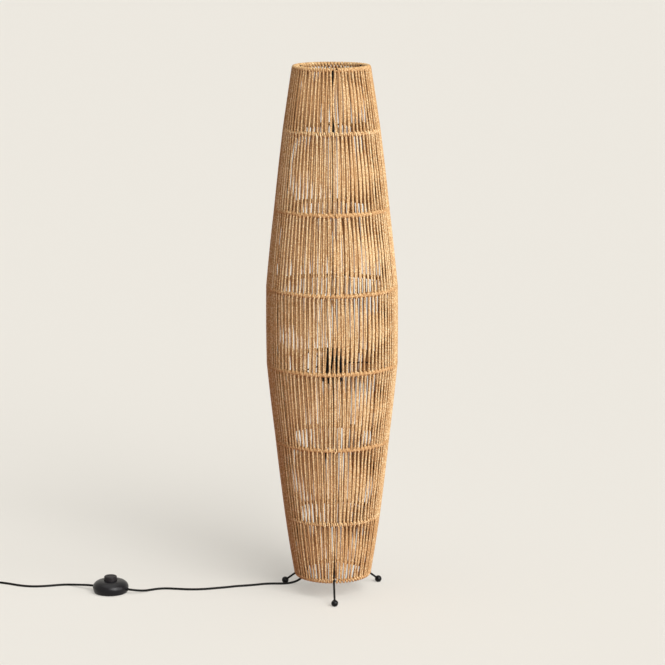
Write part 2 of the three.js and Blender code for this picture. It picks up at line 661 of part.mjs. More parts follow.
/** The domed cover: an open shell with a hole for the button, two cord entries and three screw posts. */
function switchCover() {
  const outer = coverOutline(0);
  const inner = coverOutline(SWITCH_WALL).reverse();
  let body = solid(turned([...outer, ...inner, outer[0]], SWITCH_SEGMENTS));
  screwAngles.forEach((azimuth) => {
    const top = SWITCH_HEIGHT - SWITCH_WALL - BUTTON_EDGE;
    const place = polar(SCREW_CIRCLE, azimuth, 0);
    const post = roundBar(POST_RADIUS, baseTop + SEAT_GAP, top, SCREW_SEGMENTS);
    const hole = roundBar(SCREW_SHANK / 2 + SEAT_GAP, 0, baseTop + SCREW_LENGTH, SCREW_SEGMENTS);
    body = body.add(solid(post.translate(place.x, place.y, 0)));
    body = body.subtract(solid(hole.translate(place.x, place.y, 0)));
  });
  return closed(geometryOf(body.subtract(cordEntry(1)).subtract(cordEntry(-1))));
}

/** The base plate with its three countersunk screw holes. */
function switchBase() {
  const radius = COVER_FOOT_RADIUS - SWITCH_WALL - SEAT_GAP;
  let body = solid(roundBar(radius, baseBottom, baseTop, SWITCH_SEGMENTS));
  screwAngles.forEach((azimuth) => {
    const place = polar(SCREW_CIRCLE, azimuth, 0);
    const shank = roundBar(SCREW_SHANK / 2 + SEAT_GAP, 0, baseTop + CUT_OVERRUN, SCREW_SEGMENTS);
    const seat = baseBottom + SCREW_HEAD_HEIGHT + SEAT_GAP;
    const head = roundBar(SCREW_HEAD / 2 + SEAT_GAP, 0, seat, SCREW_SEGMENTS);
    body = body.subtract(solid(shank.translate(place.x, place.y, 0)));
    body = body.subtract(solid(head.translate(place.x, place.y, 0)));
  });
  return closed(geometryOf(body));
}

/** The button: a thick cap with a flange that the cover holds down, hollow for the spring. */
function switchButton() {
  const flangeTop = SWITCH_HEIGHT - SWITCH_WALL - SEAT_GAP;
  const flangeBottom = flangeTop - BUTTON_FLANGE_HEIGHT;
  const hollow = BUTTON_RADIUS - BUTTON_WALL;
  return turned([
    [hollow, flangeBottom], [BUTTON_RADIUS + BUTTON_FLANGE, flangeBottom],
    [BUTTON_RADIUS + BUTTON_FLANGE, flangeTop],
    [BUTTON_RADIUS, flangeTop], [BUTTON_RADIUS, BUTTON_TOP - BUTTON_EDGE],
    [BUTTON_RADIUS - BUTTON_EDGE, BUTTON_TOP], [0, BUTTON_TOP], [0, BUTTON_TOP - BUTTON_WALL],
    [hollow, BUTTON_TOP - BUTTON_WALL], [hollow, flangeBottom],
  ], SWITCH_SEGMENTS);
}

/** The return spring, between the switch block and the button's ceiling. */
function switchSpring(bottom, top) {
  const steps = Math.round(SPRING_TURNS * SPRING_STEPS_PER_TURN);
  const low = bottom + SPRING_WIRE / 2;
  const rise = top - bottom - SPRING_WIRE;
  const points = Array.from({ length: steps + 1 }, (_, step) => {
    const angle = TURN * step / SPRING_STEPS_PER_TURN;
    const height = low + rise * step / steps;
    return new THREE.Vector3(SPRING_RADIUS * Math.cos(angle), SPRING_RADIUS * Math.sin(angle), height);
  });
  return tubeAlong(points, SPRING_WIRE / 2, COIL_SIDES - 1, steps);
}

/** The foot switch, turned on the floor with its cord axis through both entries. */
function footSwitch() {
  const group = new THREE.Group();
  group.position.set(SWITCH_X, SWITCH_Y, 0);
  group.rotation.z = radians(SWITCH_TURN);
  add(group, 'switch_pad', turnedRing(PAD_INNER_RADIUS, PAD_OUTER_RADIUS, 0, PAD_HEIGHT, HOLDER_SEGMENTS),
    blackCable());
  add(group, 'switch_base', switchBase(), blackPlastic());
  add(group, 'switch_cover', switchCover(), blackPlastic());
  add(group, 'switch_button', switchButton(), blackPlastic());
  const blockBottom = baseTop + SEAT_GAP;
  const blockTop = blockBottom + BLOCK_HEIGHT;
  const block = new THREE.BoxGeometry(BLOCK_WIDTH, BLOCK_DEPTH, BLOCK_HEIGHT);
  add(group, 'switch_block', closed(block.translate(0, 0, blockBottom + BLOCK_HEIGHT / 2)), ceramic());
  add(group, 'switch_spring', switchSpring(blockTop + SEAT_GAP, BUTTON_TOP - BUTTON_WALL - SEAT_GAP), plated());
  const clampTop = SWITCH_CORD_HEIGHT + CLAMP_RISE;
  for (const [side, name] of [[1, 'right'], [-1, 'left']]) {
    const clamp = new THREE.BoxGeometry(CLAMP_LENGTH, CLAMP_WIDTH, clampTop - blockBottom);
    clamp.translate(side * (clampFace - CLAMP_LENGTH / 2), 0, (clampTop + blockBottom) / 2);
    add(group, `cord_clamp_${name}`, closed(clamp), blackPlastic());
  }
  screwAngles.forEach((azimuth, screw) => {
    const headTop = baseBottom + SCREW_HEAD_HEIGHT;
    const place = polar(SCREW_CIRCLE, azimuth, 0);
    const piece = add(group, `switch_screw_${screw + 1}`, turned([
      [0, baseBottom], [SCREW_HEAD / 2, baseBottom], [SCREW_HEAD / 2, headTop], [SCREW_SHANK / 2, headTop],
      [SCREW_SHANK / 2, baseBottom + SCREW_LENGTH], [0, baseBottom + SCREW_LENGTH],
    ], SCREW_SEGMENTS), plated());
    piece.position.set(place.x, place.y, 0);
  });
  return group;
}

/** The tapered, grooved strain relief behind the plug, along +X. */
function plugRelief() {
  const profile = [[0, 0]];
  const stations = 2 * RELIEF_RIBS + 1;
  for (let station = 0; station <= stations; station += 1) {
    const share = station / stations;
    const radius = RELIEF_TIP_RADIUS + (RELIEF_REAR_RADIUS - RELIEF_TIP_RADIUS) * share;
    const groove = station % 2 === 1 && station < stations ? RELIEF_GROOVE : 0;
    profile.push([radius - groove, RELIEF_LENGTH * share]);
  }
  profile.push([0, RELIEF_LENGTH]);
  return turned(profile, HOLDER_SEGMENTS / 2).rotateY(Math.PI / 2);
}

/** The flat two-pole plug, lying on the floor and pointing away from the coil. */
function mainsPlug() {
  const group = new THREE.Group();
  group.position.set(COIL_X - COIL_TAIL - SEAT_GAP, coilY, PLUG_HEIGHT / 2);
  group.rotation.z = Math.PI;
  add(group, 'plug_relief', plugRelief(), blackPlastic());
  const rear = RELIEF_LENGTH + SEAT_GAP;
  const front = rear + PLUG_LENGTH;
  add(group, 'plug_body', lofted([
    [rear, PLUG_REAR_WIDTH, PLUG_REAR_HEIGHT], [rear + PLUG_LENGTH / 4, PLUG_WAIST_WIDTH, PLUG_HEIGHT],
    [rear + PLUG_LENGTH / 2, PLUG_WAIST_WIDTH, PLUG_HEIGHT], [front - PLUG_LENGTH / 4, PLUG_WIDTH, PLUG_HEIGHT],
    [front, PLUG_WIDTH, PLUG_HEIGHT],
  ], PLUG_CORNER_SHARE), blackPlastic());
  for (const [side, name] of [[1, 'left'], [-1, 'right']]) {
    const pin = turned([
      [0, 0], [PIN / 2, 0], [PIN / 2, PIN_LENGTH - PIN_ROUND], [PIN / 2 - PIN_ROUND, PIN_LENGTH], [0, PIN_LENGTH],
    ], SCREW_SEGMENTS).rotateY(Math.PI / 2);
    const piece = add(group, `plug_pin_${name}`, pin, plated());
    piece.position.set(front + SEAT_GAP, side * PIN_SPACING / 2, 0);
  }
  return group;
}

const lamp = new THREE.Group();
lamp.add(frameRings(), uprightsAndFeet(), shadeWinding(), spider(), lampholder());
lamp.add(mainsCord(), footSwitch(), mainsPlug());

export default lamp;
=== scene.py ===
"""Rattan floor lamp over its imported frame: finishes, cord winding, smooth metalwork, cord, foot switch and studio.

Sizes are in millimetres in the frame's own axes: the floor is z = 0, the shade's axis is the Z axis, -Y is the
front, and an azimuth is counted in degrees from the front towards +X. Meshes are turned to metres as they are made.
"""
import logging
import math
from dataclasses import dataclass, field
from enum import Enum

import bmesh
import bpy
import numpy as np
from mathutils import Matrix, Vector


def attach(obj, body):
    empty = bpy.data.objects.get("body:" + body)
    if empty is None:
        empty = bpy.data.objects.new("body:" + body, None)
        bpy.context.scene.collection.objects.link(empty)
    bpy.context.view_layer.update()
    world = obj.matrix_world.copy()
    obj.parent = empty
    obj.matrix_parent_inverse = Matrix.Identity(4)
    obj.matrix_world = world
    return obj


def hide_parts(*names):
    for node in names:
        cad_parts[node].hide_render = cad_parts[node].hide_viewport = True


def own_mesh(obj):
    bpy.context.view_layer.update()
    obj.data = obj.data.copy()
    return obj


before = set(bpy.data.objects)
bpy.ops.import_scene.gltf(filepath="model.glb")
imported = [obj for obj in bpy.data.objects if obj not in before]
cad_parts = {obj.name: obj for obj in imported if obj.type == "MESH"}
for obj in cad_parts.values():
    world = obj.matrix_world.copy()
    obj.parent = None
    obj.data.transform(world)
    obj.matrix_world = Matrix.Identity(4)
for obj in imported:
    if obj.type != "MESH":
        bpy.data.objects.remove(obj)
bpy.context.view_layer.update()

MM = 0.001
CIRCLE = 360.0
MERGE_WITHIN = 1e-7
LAMP = "lamp"
BUTTON = "button"
CREASE = 34.0
TUBE_CREASE = 80.0
UP = np.array([0.0, 0.0, 1.0])
TO_BACK = np.array([0.0, 1.0, 0.0])
LOG = logging.getLogger("floor_lamp")


# Geometry


@dataclass
class Surface:
    """A mesh in millimetres: points, four-cornered faces, end caps, and what its finish reads from it.

    Attributes:
        points: One row for each point.
        quads: Four point numbers for each face.
        caps: Faces with any number of corners.
        uv: One row for each corner of the quads, or nothing.
        tone: One number for each point, or nothing.
    """

    points: np.ndarray
    quads: np.ndarray
    caps: list[list[int]] = field(default_factory=list)
    uv: np.ndarray | None = None
    tone: np.ndarray | None = None

    def moved(self, turn: float, place: tuple[float, float, float]) -> "Surface":
        """The surface turned about Z and then shifted.

        Args:
            turn: Angle in degrees.
            place: Where its origin goes.

        Returns:
            The moved surface.
        """
        c, s = math.cos(math.radians(turn)), math.sin(math.radians(turn))
        rotation = np.array([[c, -s, 0.0], [s, c, 0.0], [0.0, 0.0, 1.0]])
        return Surface(self.points @ rotation.T + np.array(place), self.quads, self.caps, self.uv, self.tone)

    def laid(self) -> "Surface":
        """The surface with its Z axis laid along X."""
        return Surface(np.roll(self.points, 1, axis=1), self.quads, self.caps, self.uv, self.tone)


def polar(radius: np.ndarray | float, azimuth: np.ndarray | float, height: np.ndarray | float) -> np.ndarray:
    """Points round the shade's axis: x = radius * sin(azimuth), y = -radius * cos(azimuth), z = height.

    Args:
        radius: Distance from the axis.
        azimuth: Angle in degrees.
        height: Height over the floor.

    Returns:
        A row of x, y and z for each point.
    """
    angle = np.radians(azimuth)
    radius, angle, height = np.broadcast_arrays(radius, angle, height)
    return np.stack([radius * np.sin(angle), -radius * np.cos(angle), height], axis=-1)


def unit(vectors: np.ndarray) -> np.ndarray:
    """Vectors divided by their lengths."""
    return vectors / np.maximum(np.linalg.norm(vectors, axis=-1, keepdims=True), 1e-9)


def between(first: np.ndarray, last: np.ndarray, shares: np.ndarray) -> np.ndarray:
    """A row for each pair of numbers: first + (last - first) * share, for each share of the way."""
    return first[:, None] + (last - first)[:, None] * shares


def grid_quads(rows: int, columns: int, round_rows: bool = False) -> np.ndarray:
    """Faces of a grid whose columns close into a loop.

    Args:
        rows: Rows of points.
        columns: Points in a row, the last of which meets the first.
        round_rows: Whether the last row meets the first as well.

    Returns:
        Four point numbers for each face: (i, j), (i, j + 1), (i + 1, j + 1), (i + 1, j), both counted round.
    """
    i = np.arange(rows if round_rows else rows - 1)[:, None]
    j = np.arange(columns)[None, :]
    here, after = i * columns, (i + 1) % rows * columns
    ahead = (j + 1) % columns
    return np.stack([here + j, here + ahead, after + ahead, after + j], axis=-1).reshape(-1, 4)


def smooth_path(points: np.ndarray, per_span: int) -> np.ndarray:
    """A centripetal Catmull-Rom curve through points.

    Each span is a cubic between two points. The slope at a point comes from the three chords round it, each
    divided by the square root of its length, and the first and last points are mirrored for the end slopes.

    Args:
        points: The points that the curve passes.
        per_span: Steps between two of them.

    Returns:
        Points along the curve, the last one included.
    """
    p = np.vstack([2 * points[0] - points[1], points, 2 * points[-1] - points[-2]])
    knot = np.linalg.norm(np.diff(p, axis=0), axis=1)[:, None] ** 0.5
    p0, p1, p2, p3 = p[:-3], p[1:-2], p[2:-1], p[3:]
    d0, d1, d2 = knot[:-2], knot[1:-1], knot[2:]
    slope1 = ((p1 - p0) / d0 - (p2 - p0) / (d0 + d1) + (p2 - p1) / d1) * d1
    slope2 = ((p2 - p1) / d1 - (p3 - p1) / (d1 + d2) + (p3 - p2) / d2) * d1
    t = (np.arange(per_span) / per_span)[:, None, None]
    curve = (
        (2 * t**3 - 3 * t**2 + 1) * p1
        + (t**3 - 2 * t**2 + t) * slope1
        + (3 * t**2 - 2 * t**3) * p2
        + (t**3 - t**2) * slope2
    )
    return np.vstack([curve.transpose(1, 0, 2).reshape(-1, 3), points[-1]])


def path_length(path: np.ndarray) -> float:
    """The summed distance between neighbouring points."""
    return float(np.linalg.norm(np.diff(path, axis=0), axis=1).sum())


def tube(path: np.ndarray, radius: float, sides: int, across: np.ndarray, tone: np.ndarray | None = None) -> Surface:
    """A capped round tube along a path.

    At each station the tangent t is the difference of the neighbouring points. b is the across vector less its
    share along t, n is t x b, and the ring is path + radius * (cos(a) * n + sin(a) * b) for a round the circle.

    Args:
        path: Stations along the middle of the tube.
        radius: Its radius.
        sides: Points in each ring.
        across: One vector, or one for each station, that no tangent is parallel to.
        tone: A number for each station, or nothing.

    Returns:
        The tube, with UVs of the length along it in millimetres and the share of the way round.
    """
    tangent = unit(np.gradient(path, axis=0))
    across = np.broadcast_to(across, path.shape)
    side = unit(across - (across * tangent).sum(axis=1, keepdims=True) * tangent)
    normal = np.cross(tangent, side)
    angle = np.linspace(0, 2 * np.pi, sides, endpoint=False)[None, :, None]
    points = path[:, None] + radius * (np.cos(angle) * normal[:, None] + np.sin(angle) * side[:, None])
    along = np.concatenate([[0], np.cumsum(np.linalg.norm(np.diff(path, axis=0), axis=1))])
    rows = len(path)
    i = np.repeat(np.arange(rows - 1), sides)
    j = np.tile(np.arange(sides), rows - 1)
    u = np.stack([along[i], along[i], along[i + 1], along[i + 1]], axis=-1)
    v = np.stack([j, j + 1, j + 1, j], axis=-1) / sides
    last = (rows - 1) * sides
    return Surface(
        points.reshape(-1, 3),
        grid_quads(rows, sides),
        [list(range(sides))[::-1], list(range(last, last + sides))],
        np.stack([u, v], axis=-1).reshape(-1, 2),
        np.repeat(np.zeros(rows) if tone is None else tone, sides),
    )


def eased(profile: list[tuple[float, float]], radius: float) -> np.ndarray:
    """A closed outline with its corners rounded.

    Each corner becomes a quadratic curve from the point that lies the radius back on the edge before it to the
    point that lies the radius on along the edge after it. Corners on the axis stay sharp.

    Args:
        profile: Corners as (radius, height), in order.
        radius: How far from a corner its rounding starts, at most 0.45 of the shorter edge.

    Returns:
        The rounded outline.
    """
    p = np.array(profile, float)
    before, after = np.roll(p, 1, axis=0) - p, np.roll(p, -1, axis=0) - p
    shorter = np.minimum(np.linalg.norm(before, axis=1), np.linalg.norm(after, axis=1))
    cut = (np.minimum(radius, 0.45 * shorter) * (p[:, 0] > 0))[:, None]
    start, end = p + unit(before) * cut, p + unit(after) * cut
    t = np.linspace(0, 1, 5)[None, :, None]
    curve = (1 - t) ** 2 * start[:, None] + 2 * t * (1 - t) * p[:, None] + t**2 * end[:, None]
    points = curve.reshape(-1, 2)
    fresh = np.linalg.norm(points - np.roll(points, 1, axis=0), axis=1) > 1e-6
    return points[fresh]


def turned(profile: np.ndarray, segments: int = 64, ribs: int = 0, depth: float = 0.0, beyond: float = 0.0) -> Surface:
    """A closed outline turned about the Z axis.

    A point (r, z) of the outline goes to (r' * cos(a), r' * sin(a), z), where r' = r - depth * (1 + cos(ribs * a)) / 2
    where r is beyond a radius, and r elsewhere.

    Args:
        profile: The outline as (radius, height).
        segments: Steps round the axis.
        ribs: Ribs round the edge.
        depth: Depth of the grooves between them.
        beyond: Radius past which the ribs start.

    Returns:
        The turned surface.
    """
    angle = np.linspace(0, 2 * np.pi, segments, endpoint=False)[None, :]
    r, z = profile[:, :1], profile[:, 1:]
    groove = depth * (0.5 + 0.5 * np.cos(ribs * angle)) * (r > beyond) if ribs else 0.0
    radius = r - groove
    points = np.stack(np.broadcast_arrays(radius * np.cos(angle), radius * np.sin(angle), z), axis=-1)
    return Surface(points.reshape(-1, 3), grid_quads(len(profile), segments, True))


# Shader graphs


@dataclass(frozen=True)
class Value:
    """A number in a shader graph, with the operators that add its Math nodes."""

    graph: "Graph"
    socket: bpy.types.NodeSocket

    def _math(self, operation: str, *numbers: "Value | float") -> "Value":
        """One Math node on some numbers."""
        node = self.graph.node("ShaderNodeMath", {"operation": operation}, dict(enumerate(numbers)))
        return Value(self.graph, node.outputs[0])

    def __add__(self, other: "Value | float") -> "Value":
        """The sum."""
        return self._math("ADD", self, other)

    def __radd__(self, other: float) -> "Value":
        """The sum, from a number on the left."""
        return self._math("ADD", other, self)

    def __sub__(self, other: "Value | float") -> "Value":
        """The difference."""
        return self._math("SUBTRACT", self, other)

    def __rsub__(self, other: float) -> "Value":
        """The difference, from a number on the left."""
        return self._math("SUBTRACT", other, self)

    def __mul__(self, other: "Value | float") -> "Value":
        """The product."""
        return self._math("MULTIPLY", self, other)

    def __rmul__(self, other: float) -> "Value":
        """The product, from a number on the left."""
        return self._math("MULTIPLY", other, self)

    def __truediv__(self, other: "Value | float") -> "Value":
        """The quotient."""
        return self._math("DIVIDE", self, other)

    def __rtruediv__(self, other: float) -> "Value":
        """The quotient, from a number on the left."""
        return self._math("DIVIDE", other, self)

    def sine(self) -> "Value":
        """The sine of an angle in radians."""
        return self._math("SINE", self)

    def larger(self, other: "Value | float") -> "Value":
        """The larger of two numbers."""
        return self._math("MAXIMUM", self, other)

    def clipped(self) -> "Value":
        """The number held between 0 and 1."""
        return self._math("MINIMUM", self._math("MAXIMUM", self, 0.0), 1.0)


class Graph:
    """A node graph of a material or the world."""

    def __init__(self, tree: bpy.types.NodeTree) -> None:
        """Starts from an empty graph."""
        self.tree = tree
        tree.nodes.clear()

    def node(self, kind: str, settings: dict | None = None, inputs: dict | None = None) -> bpy.types.Node:
        """Adds a node.

        Args:
            kind: The node's type.
            settings: Its own settings, set first.
            inputs: Values, links or plain numbers for its sockets, by name or number.

        Returns:
            The new node.
        """
        node = self.tree.nodes.new(kind)
        for name, setting in (settings or {}).items():
            setattr(node, name, setting)
        for key, value in (inputs or {}).items():
            source = value.socket if isinstance(value, Value) else value
            if isinstance(source, bpy.types.NodeSocket):
                self.tree.links.new(source, node.inputs[key])
            else:
                node.inputs[key].default_value = source
        return node

    def coordinates(self) -> bpy.types.NodeSocket:
        """Object coordinates."""
        return self.node("ShaderNodeTexCoord").outputs["Object"]

    def noise(self, scale: float, detail: float = 2.0, vector: bpy.types.NodeSocket | None = None) -> Value:
        """A noise from 0 to 1 at a number of features to the metre."""
        inputs = {"Scale": scale, "Detail": detail, "Vector": vector or self.coordinates()}
        return Value(self, self.node("ShaderNodeTexNoise", None, inputs).outputs["Fac"])

    def patches(self, scale: float, detail: float, start: float, gain: float) -> Value:
        """A noise that is 0 up to a start, climbs from there at a gain and stops at 1."""
        return ((self.noise(scale, detail) - start) * gain).clipped()

    def attribute(self, name: str) -> Value:
        """A number that the mesh holds for each point."""
        return Value(self, self.node("ShaderNodeAttribute", {"attribute_name": name}).outputs["Fac"])

    def helix(self, turn_length: float, strands: int) -> Value:
        """Ridges that climb a tube: half of 1 plus the sine of a circle for each turn length and each strand.

        Args:
            turn_length: Length of the tube, in millimetres, in which a strand goes round it.
            strands: How many strands lie side by side.

        Returns:
            The ridges' height, from 0 to 1.
        """
        uv = self.node("ShaderNodeUVMap", {"uv_map": "lay"}).outputs["UV"]
        parts = self.node("ShaderNodeSeparateXYZ", None, {0: uv})
        along, around = Value(self, parts.outputs[0]), Value(self, parts.outputs[1])
        return (2 * math.pi * (along / turn_length + strands * around)).sine() * 0.5 + 0.5

    def blend(self, share: Value | float, first: tuple, second: tuple) -> bpy.types.NodeSocket:
        """A colour between two others."""
        node = self.node("ShaderNodeMix", {"data_type": "RGBA"}, {0: share, 6: first, 7: second})
        return node.outputs[2]

    def bump(self, height: Value, distance: float) -> bpy.types.NodeSocket:
        """A normal raised by a height, where 1 is a distance in metres."""
        return self.node("ShaderNodeBump", None, {"Height": height, "Distance": distance}).outputs["Normal"]

    def shader(self, kind: str, inputs: dict) -> bpy.types.NodeSocket:
        """The output of a new shader node."""
        return self.node(kind, None, inputs).outputs[0]

    def surface(self, **sockets: object) -> None:
        """Ends a material in a Principled shader, with spaces in socket names written as _."""
        inputs = {name.replace("_", " "): value for name, value in sockets.items()}
        self.node("ShaderNodeOutputMaterial", None, {"Surface": self.shader("ShaderNodeBsdfPrincipled", inputs)})


def srgb(red: int, green: int, blue: int) -> tuple[float, float, float, float]:
    """A screen colour as a linear one.

    Args:
        red: Red from 0 to 255.
        green: Green from 0 to 255.
        blue: Blue from 0 to 255.

    Returns:
        The linear colour, with an alpha of 1.
    """
    levels = np.array([red, green, blue]) / 255
    linear = np.where(levels <= 0.04045, levels / 12.92, ((levels + 0.055) / 1.055) ** 2.4)
    return (*(float(x) for x in linear), 1.0)


# Finishes


@dataclass(frozen=True)
class Finish:
    """A material that is made once and shared."""

    name: str

    def material(self) -> bpy.types.Material:
        """Finds the finish's material, or makes it at its first use.

        Returns:
            The material.
        """
        found = bpy.data.materials.get(self.name)
        if found is None:
            found = bpy.data.materials.new(self.name)
            found.use_nodes = True
            self.draw(Graph(found.node_tree))
        return found

    def draw(self, graph: Graph) -> None:
        """Fills the graph."""
        raise NotImplementedError


@dataclass(frozen=True)
class TwistedPaper(Finish):
    """Kraft paper twisted into cord, whose turns, fibres and tone vary along it."""

    shade: tuple = srgb(186, 145, 96)
    body: tuple = srgb(219, 184, 132)
    pale: tuple = srgb(238, 217, 172)
    turn_length: float = 3.6
    patchy: float = 0.9
    flecked: float = 4.6
    fibrous: float = 0.5
    # painted shade in the groove of the twist
    groove_painted_shade: float = 0.3
    relief: float = 0.0005

    def draw(self, graph: Graph) -> None:
        """Colour follows the strand's tone and three sizes of noise, and is darkened towards the shade colour in the
        groove of the twist as painted shade.

        Args:
            graph: The material's empty graph.
        """
        twist = graph.helix(self.turn_length, 1)
        fibre, fleck, patch = graph.noise(900.0, 3.0), graph.noise(380.0), graph.noise(45.0)
        tone = graph.attribute("tone") + self.patchy * (patch - 0.5) + self.flecked * (fleck - 0.5)
        tone = (tone + self.fibrous * (fibre - 0.5)).clipped()
        deep = graph.blend((tone * 2).clipped(), self.shade, self.body)
        base = graph.blend((tone * 2 - 1).clipped(), deep, self.pale)
        # painted shade: the twist's groove is darkened towards the shade colour
        graph.surface(
            Base_Color=graph.blend(self.groove_painted_shade * (1 - twist), base, self.shade),
            Roughness=0.78 + 0.12 * fibre,
            Normal=graph.bump(twist + 0.3 * fibre, self.relief),
        )


@dataclass(frozen=True)
class Enamel(Finish):
    """Satin powder coat on steel, with a faint orange peel and lightly rubbed patches."""

    colour: tuple = srgb(11, 11, 11)
    rubbed: tuple = srgb(20, 20, 19)
    roughness: float = 0.36
    shine: float = 0.16
    relief: float = 0.00008

    def draw(self, graph: Graph) -> None:
        """Fine noise makes the peel, and broad noise lightens the coat and dulls it.

        Args:
            graph: The material's empty graph.
        """
        peel = graph.noise(1400.0)
        wear = graph.patches(55.0, 4.0, start=0.5, gain=2.2)
        graph.surface(
            Base_Color=graph.blend(0.7 * wear, self.colour, self.rubbed),
            Roughness=self.roughness + 0.18 * wear + 0.05 * peel,
            Specular_IOR_Level=self.shine,
            Normal=graph.bump(peel, self.relief),
        )


@dataclass(frozen=True)
class Moulded(Finish):
    """Moulded plastic with a fine spark-eroded grain and a trace of handling."""

    colour: tuple = srgb(32, 31, 34)
    dusty: tuple = srgb(48, 46, 46)
    roughness: float = 0.42
    shine: float = 0.22
    relief: float = 0.00005

    def draw(self, graph: Graph) -> None:
        """Fine noise makes the grain, and broad noise adds a dusting to the colour and the roughness.

        Args:
            graph: The material's empty graph.
        """
        grain = graph.noise(1800.0)
        dust = graph.patches(70.0, 5.0, start=0.48, gain=2.5)
        graph.surface(
            Base_Color=graph.blend(0.35 * dust, self.colour, self.dusty),
            Roughness=self.roughness + 0.14 * dust + 0.06 * grain,
            Specular_IOR_Level=self.shine,
            Normal=graph.bump(grain, self.relief),
        )


@dataclass(frozen=True)
class Sheath(Finish):
    """Flexible cable sheath, faintly marked by the cores laid inside it."""

    colour: tuple = srgb(11, 10, 8)
    scuffed: tuple = srgb(26, 24, 20)
    shine: float = 0.12
    core_lay: float = 42.0
    cores: int = 2
    relief: float = 0.00012

    def draw(self, graph: Graph) -> None:
        """The cores' lay is a slow helix, and noise scuffs the surface.

        Args:
            graph: The material's empty graph.
        """
        scuff = graph.patches(120.0, 4.0, start=0.5, gain=2.4)
        graph.surface(
            Base_Color=graph.blend(0.5 * scuff, self.colour, self.scuffed),
            Roughness=0.46 + 0.2 * scuff,
            Specular_IOR_Level=self.shine,
            Normal=graph.bump(graph.helix(self.core_lay, self.cores) + 0.4 * graph.noise(1500.0), self.relief),
        )


@dataclass(frozen=True)
class DrawnMetal(Finish):
    """Drawn or plated metal with fine streaks and a darker bloom."""

    colour: tuple = srgb(186, 184, 178)
    bloom: tuple = srgb(120, 116, 108)
    roughness: float = 0.24
    squeeze: tuple = (1.0, 1.0, 0.06)
    relief: float = 0.00003

    def draw(self, graph: Graph) -> None:
        """Noise that is squeezed along Z makes the streaks, and broad noise the bloom.

        Args:
            graph: The material's empty graph.
        """
        mapping = graph.node("ShaderNodeMapping", None, {"Vector": graph.coordinates(), "Scale": self.squeeze})
        streak = graph.noise(2400.0, vector=mapping.outputs[0])
        bloom = graph.patches(90.0, 4.0, start=0.45, gain=2.0)
        graph.surface(
            Base_Color=graph.blend(0.5 * bloom, self.colour, self.bloom),
            Metallic=1.0,
            Roughness=self.roughness + 0.16 * streak + 0.12 * bloom,
            Normal=graph.bump(streak, self.relief),
        )


@dataclass(frozen=True)
class Porcelain(Finish):
    """Unglazed insulating ceramic."""

    colour: tuple = srgb(226, 219, 205)
    speck: tuple = srgb(186, 176, 158)
    relief: float = 0.00006

    def draw(self, graph: Graph) -> None:
        """Fine noise gives the specks and the tooth of the surface.

        Args:
            graph: The material's empty graph.
        """
        speck = graph.patches(1100.0, 3.0, start=0.55, gain=3.0)
        graph.surface(
            Base_Color=graph.blend(speck, self.colour, self.speck),
            Roughness=0.5 + 0.2 * speck,
            Normal=graph.bump(speck, self.relief),
        )


@dataclass(frozen=True)
class Foam(Finish):
    """Cellular rubber of the foot switch's pad."""

    colour: tuple = srgb(38, 37, 36)
    pitted: tuple = srgb(66, 64, 62)
    cells: float = 1300.0
    relief: float = 0.00012

    def draw(self, graph: Graph) -> None:
        """Cells from a Voronoi pattern lighten the colour and pit the surface.

        Args:
            graph: The material's empty graph.
        """
        inputs = {"Vector": graph.coordinates(), "Scale": self.cells}
        pit = Value(graph, graph.node("ShaderNodeTexVoronoi", None, inputs).outputs["Distance"])
        graph.surface(
            Base_Color=graph.blend(0.6 * pit, self.colour, self.pitted),
            Roughness=0.86,
            Normal=graph.bump(pit, self.relief),
        )


PAPER = TwistedPaper("twisted_paper")
STEEL_COAT = Enamel("black_coat")
BALL_COAT = Enamel("ball_coat", roughness=0.28)
HOLDER_BLACK = Moulded("holder_black", srgb(14, 13, 13))
SWITCH_BLACK = Moulded("switch_black", srgb(17, 16, 19), dusty=srgb(30, 29, 31), roughness=0.27)
BUTTON_BLACK = Moulded("button_black", srgb(26, 23, 25), dusty=srgb(48, 44, 45), roughness=0.46)
PLUG_BLACK = Moulded("plug_black", srgb(20, 19, 19), roughness=0.46)
CABLE = Sheath("cable_sheath")
BRASS = DrawnMetal("brass", srgb(196, 158, 92), srgb(128, 92, 44), 0.26)
NICKEL = DrawnMetal("nickel")
CERAMIC = Porcelain("porcelain")
PAD_FOAM = Foam("pad_foam")


# Pieces


class Slot(Enum):
    """The record's material slots."""

    FRAME = "frame"
    FEET = "feet"
    SPIDER = "spider"
    WINDING = "winding"
    HOLDER = "holder"
    CERAMIC = "ceramic"
    BRASS = "brass"
    CABLE = "cable"
    SWITCH = "switch"
    BUTTON = "button"
    PLATED = "plated"
    PLUG = "plug"


def add_to_scene(name: str, data: bpy.types.ID) -> bpy.types.Object:
    """Adds an object to the scene.

    Args:
        name: The object's name.
        data: Its mesh, lamp or camera.

    Returns:
        The new object.
    """
    made = bpy.data.objects.new(name, data)
    bpy.context.scene.collection.objects.link(made)
    return made


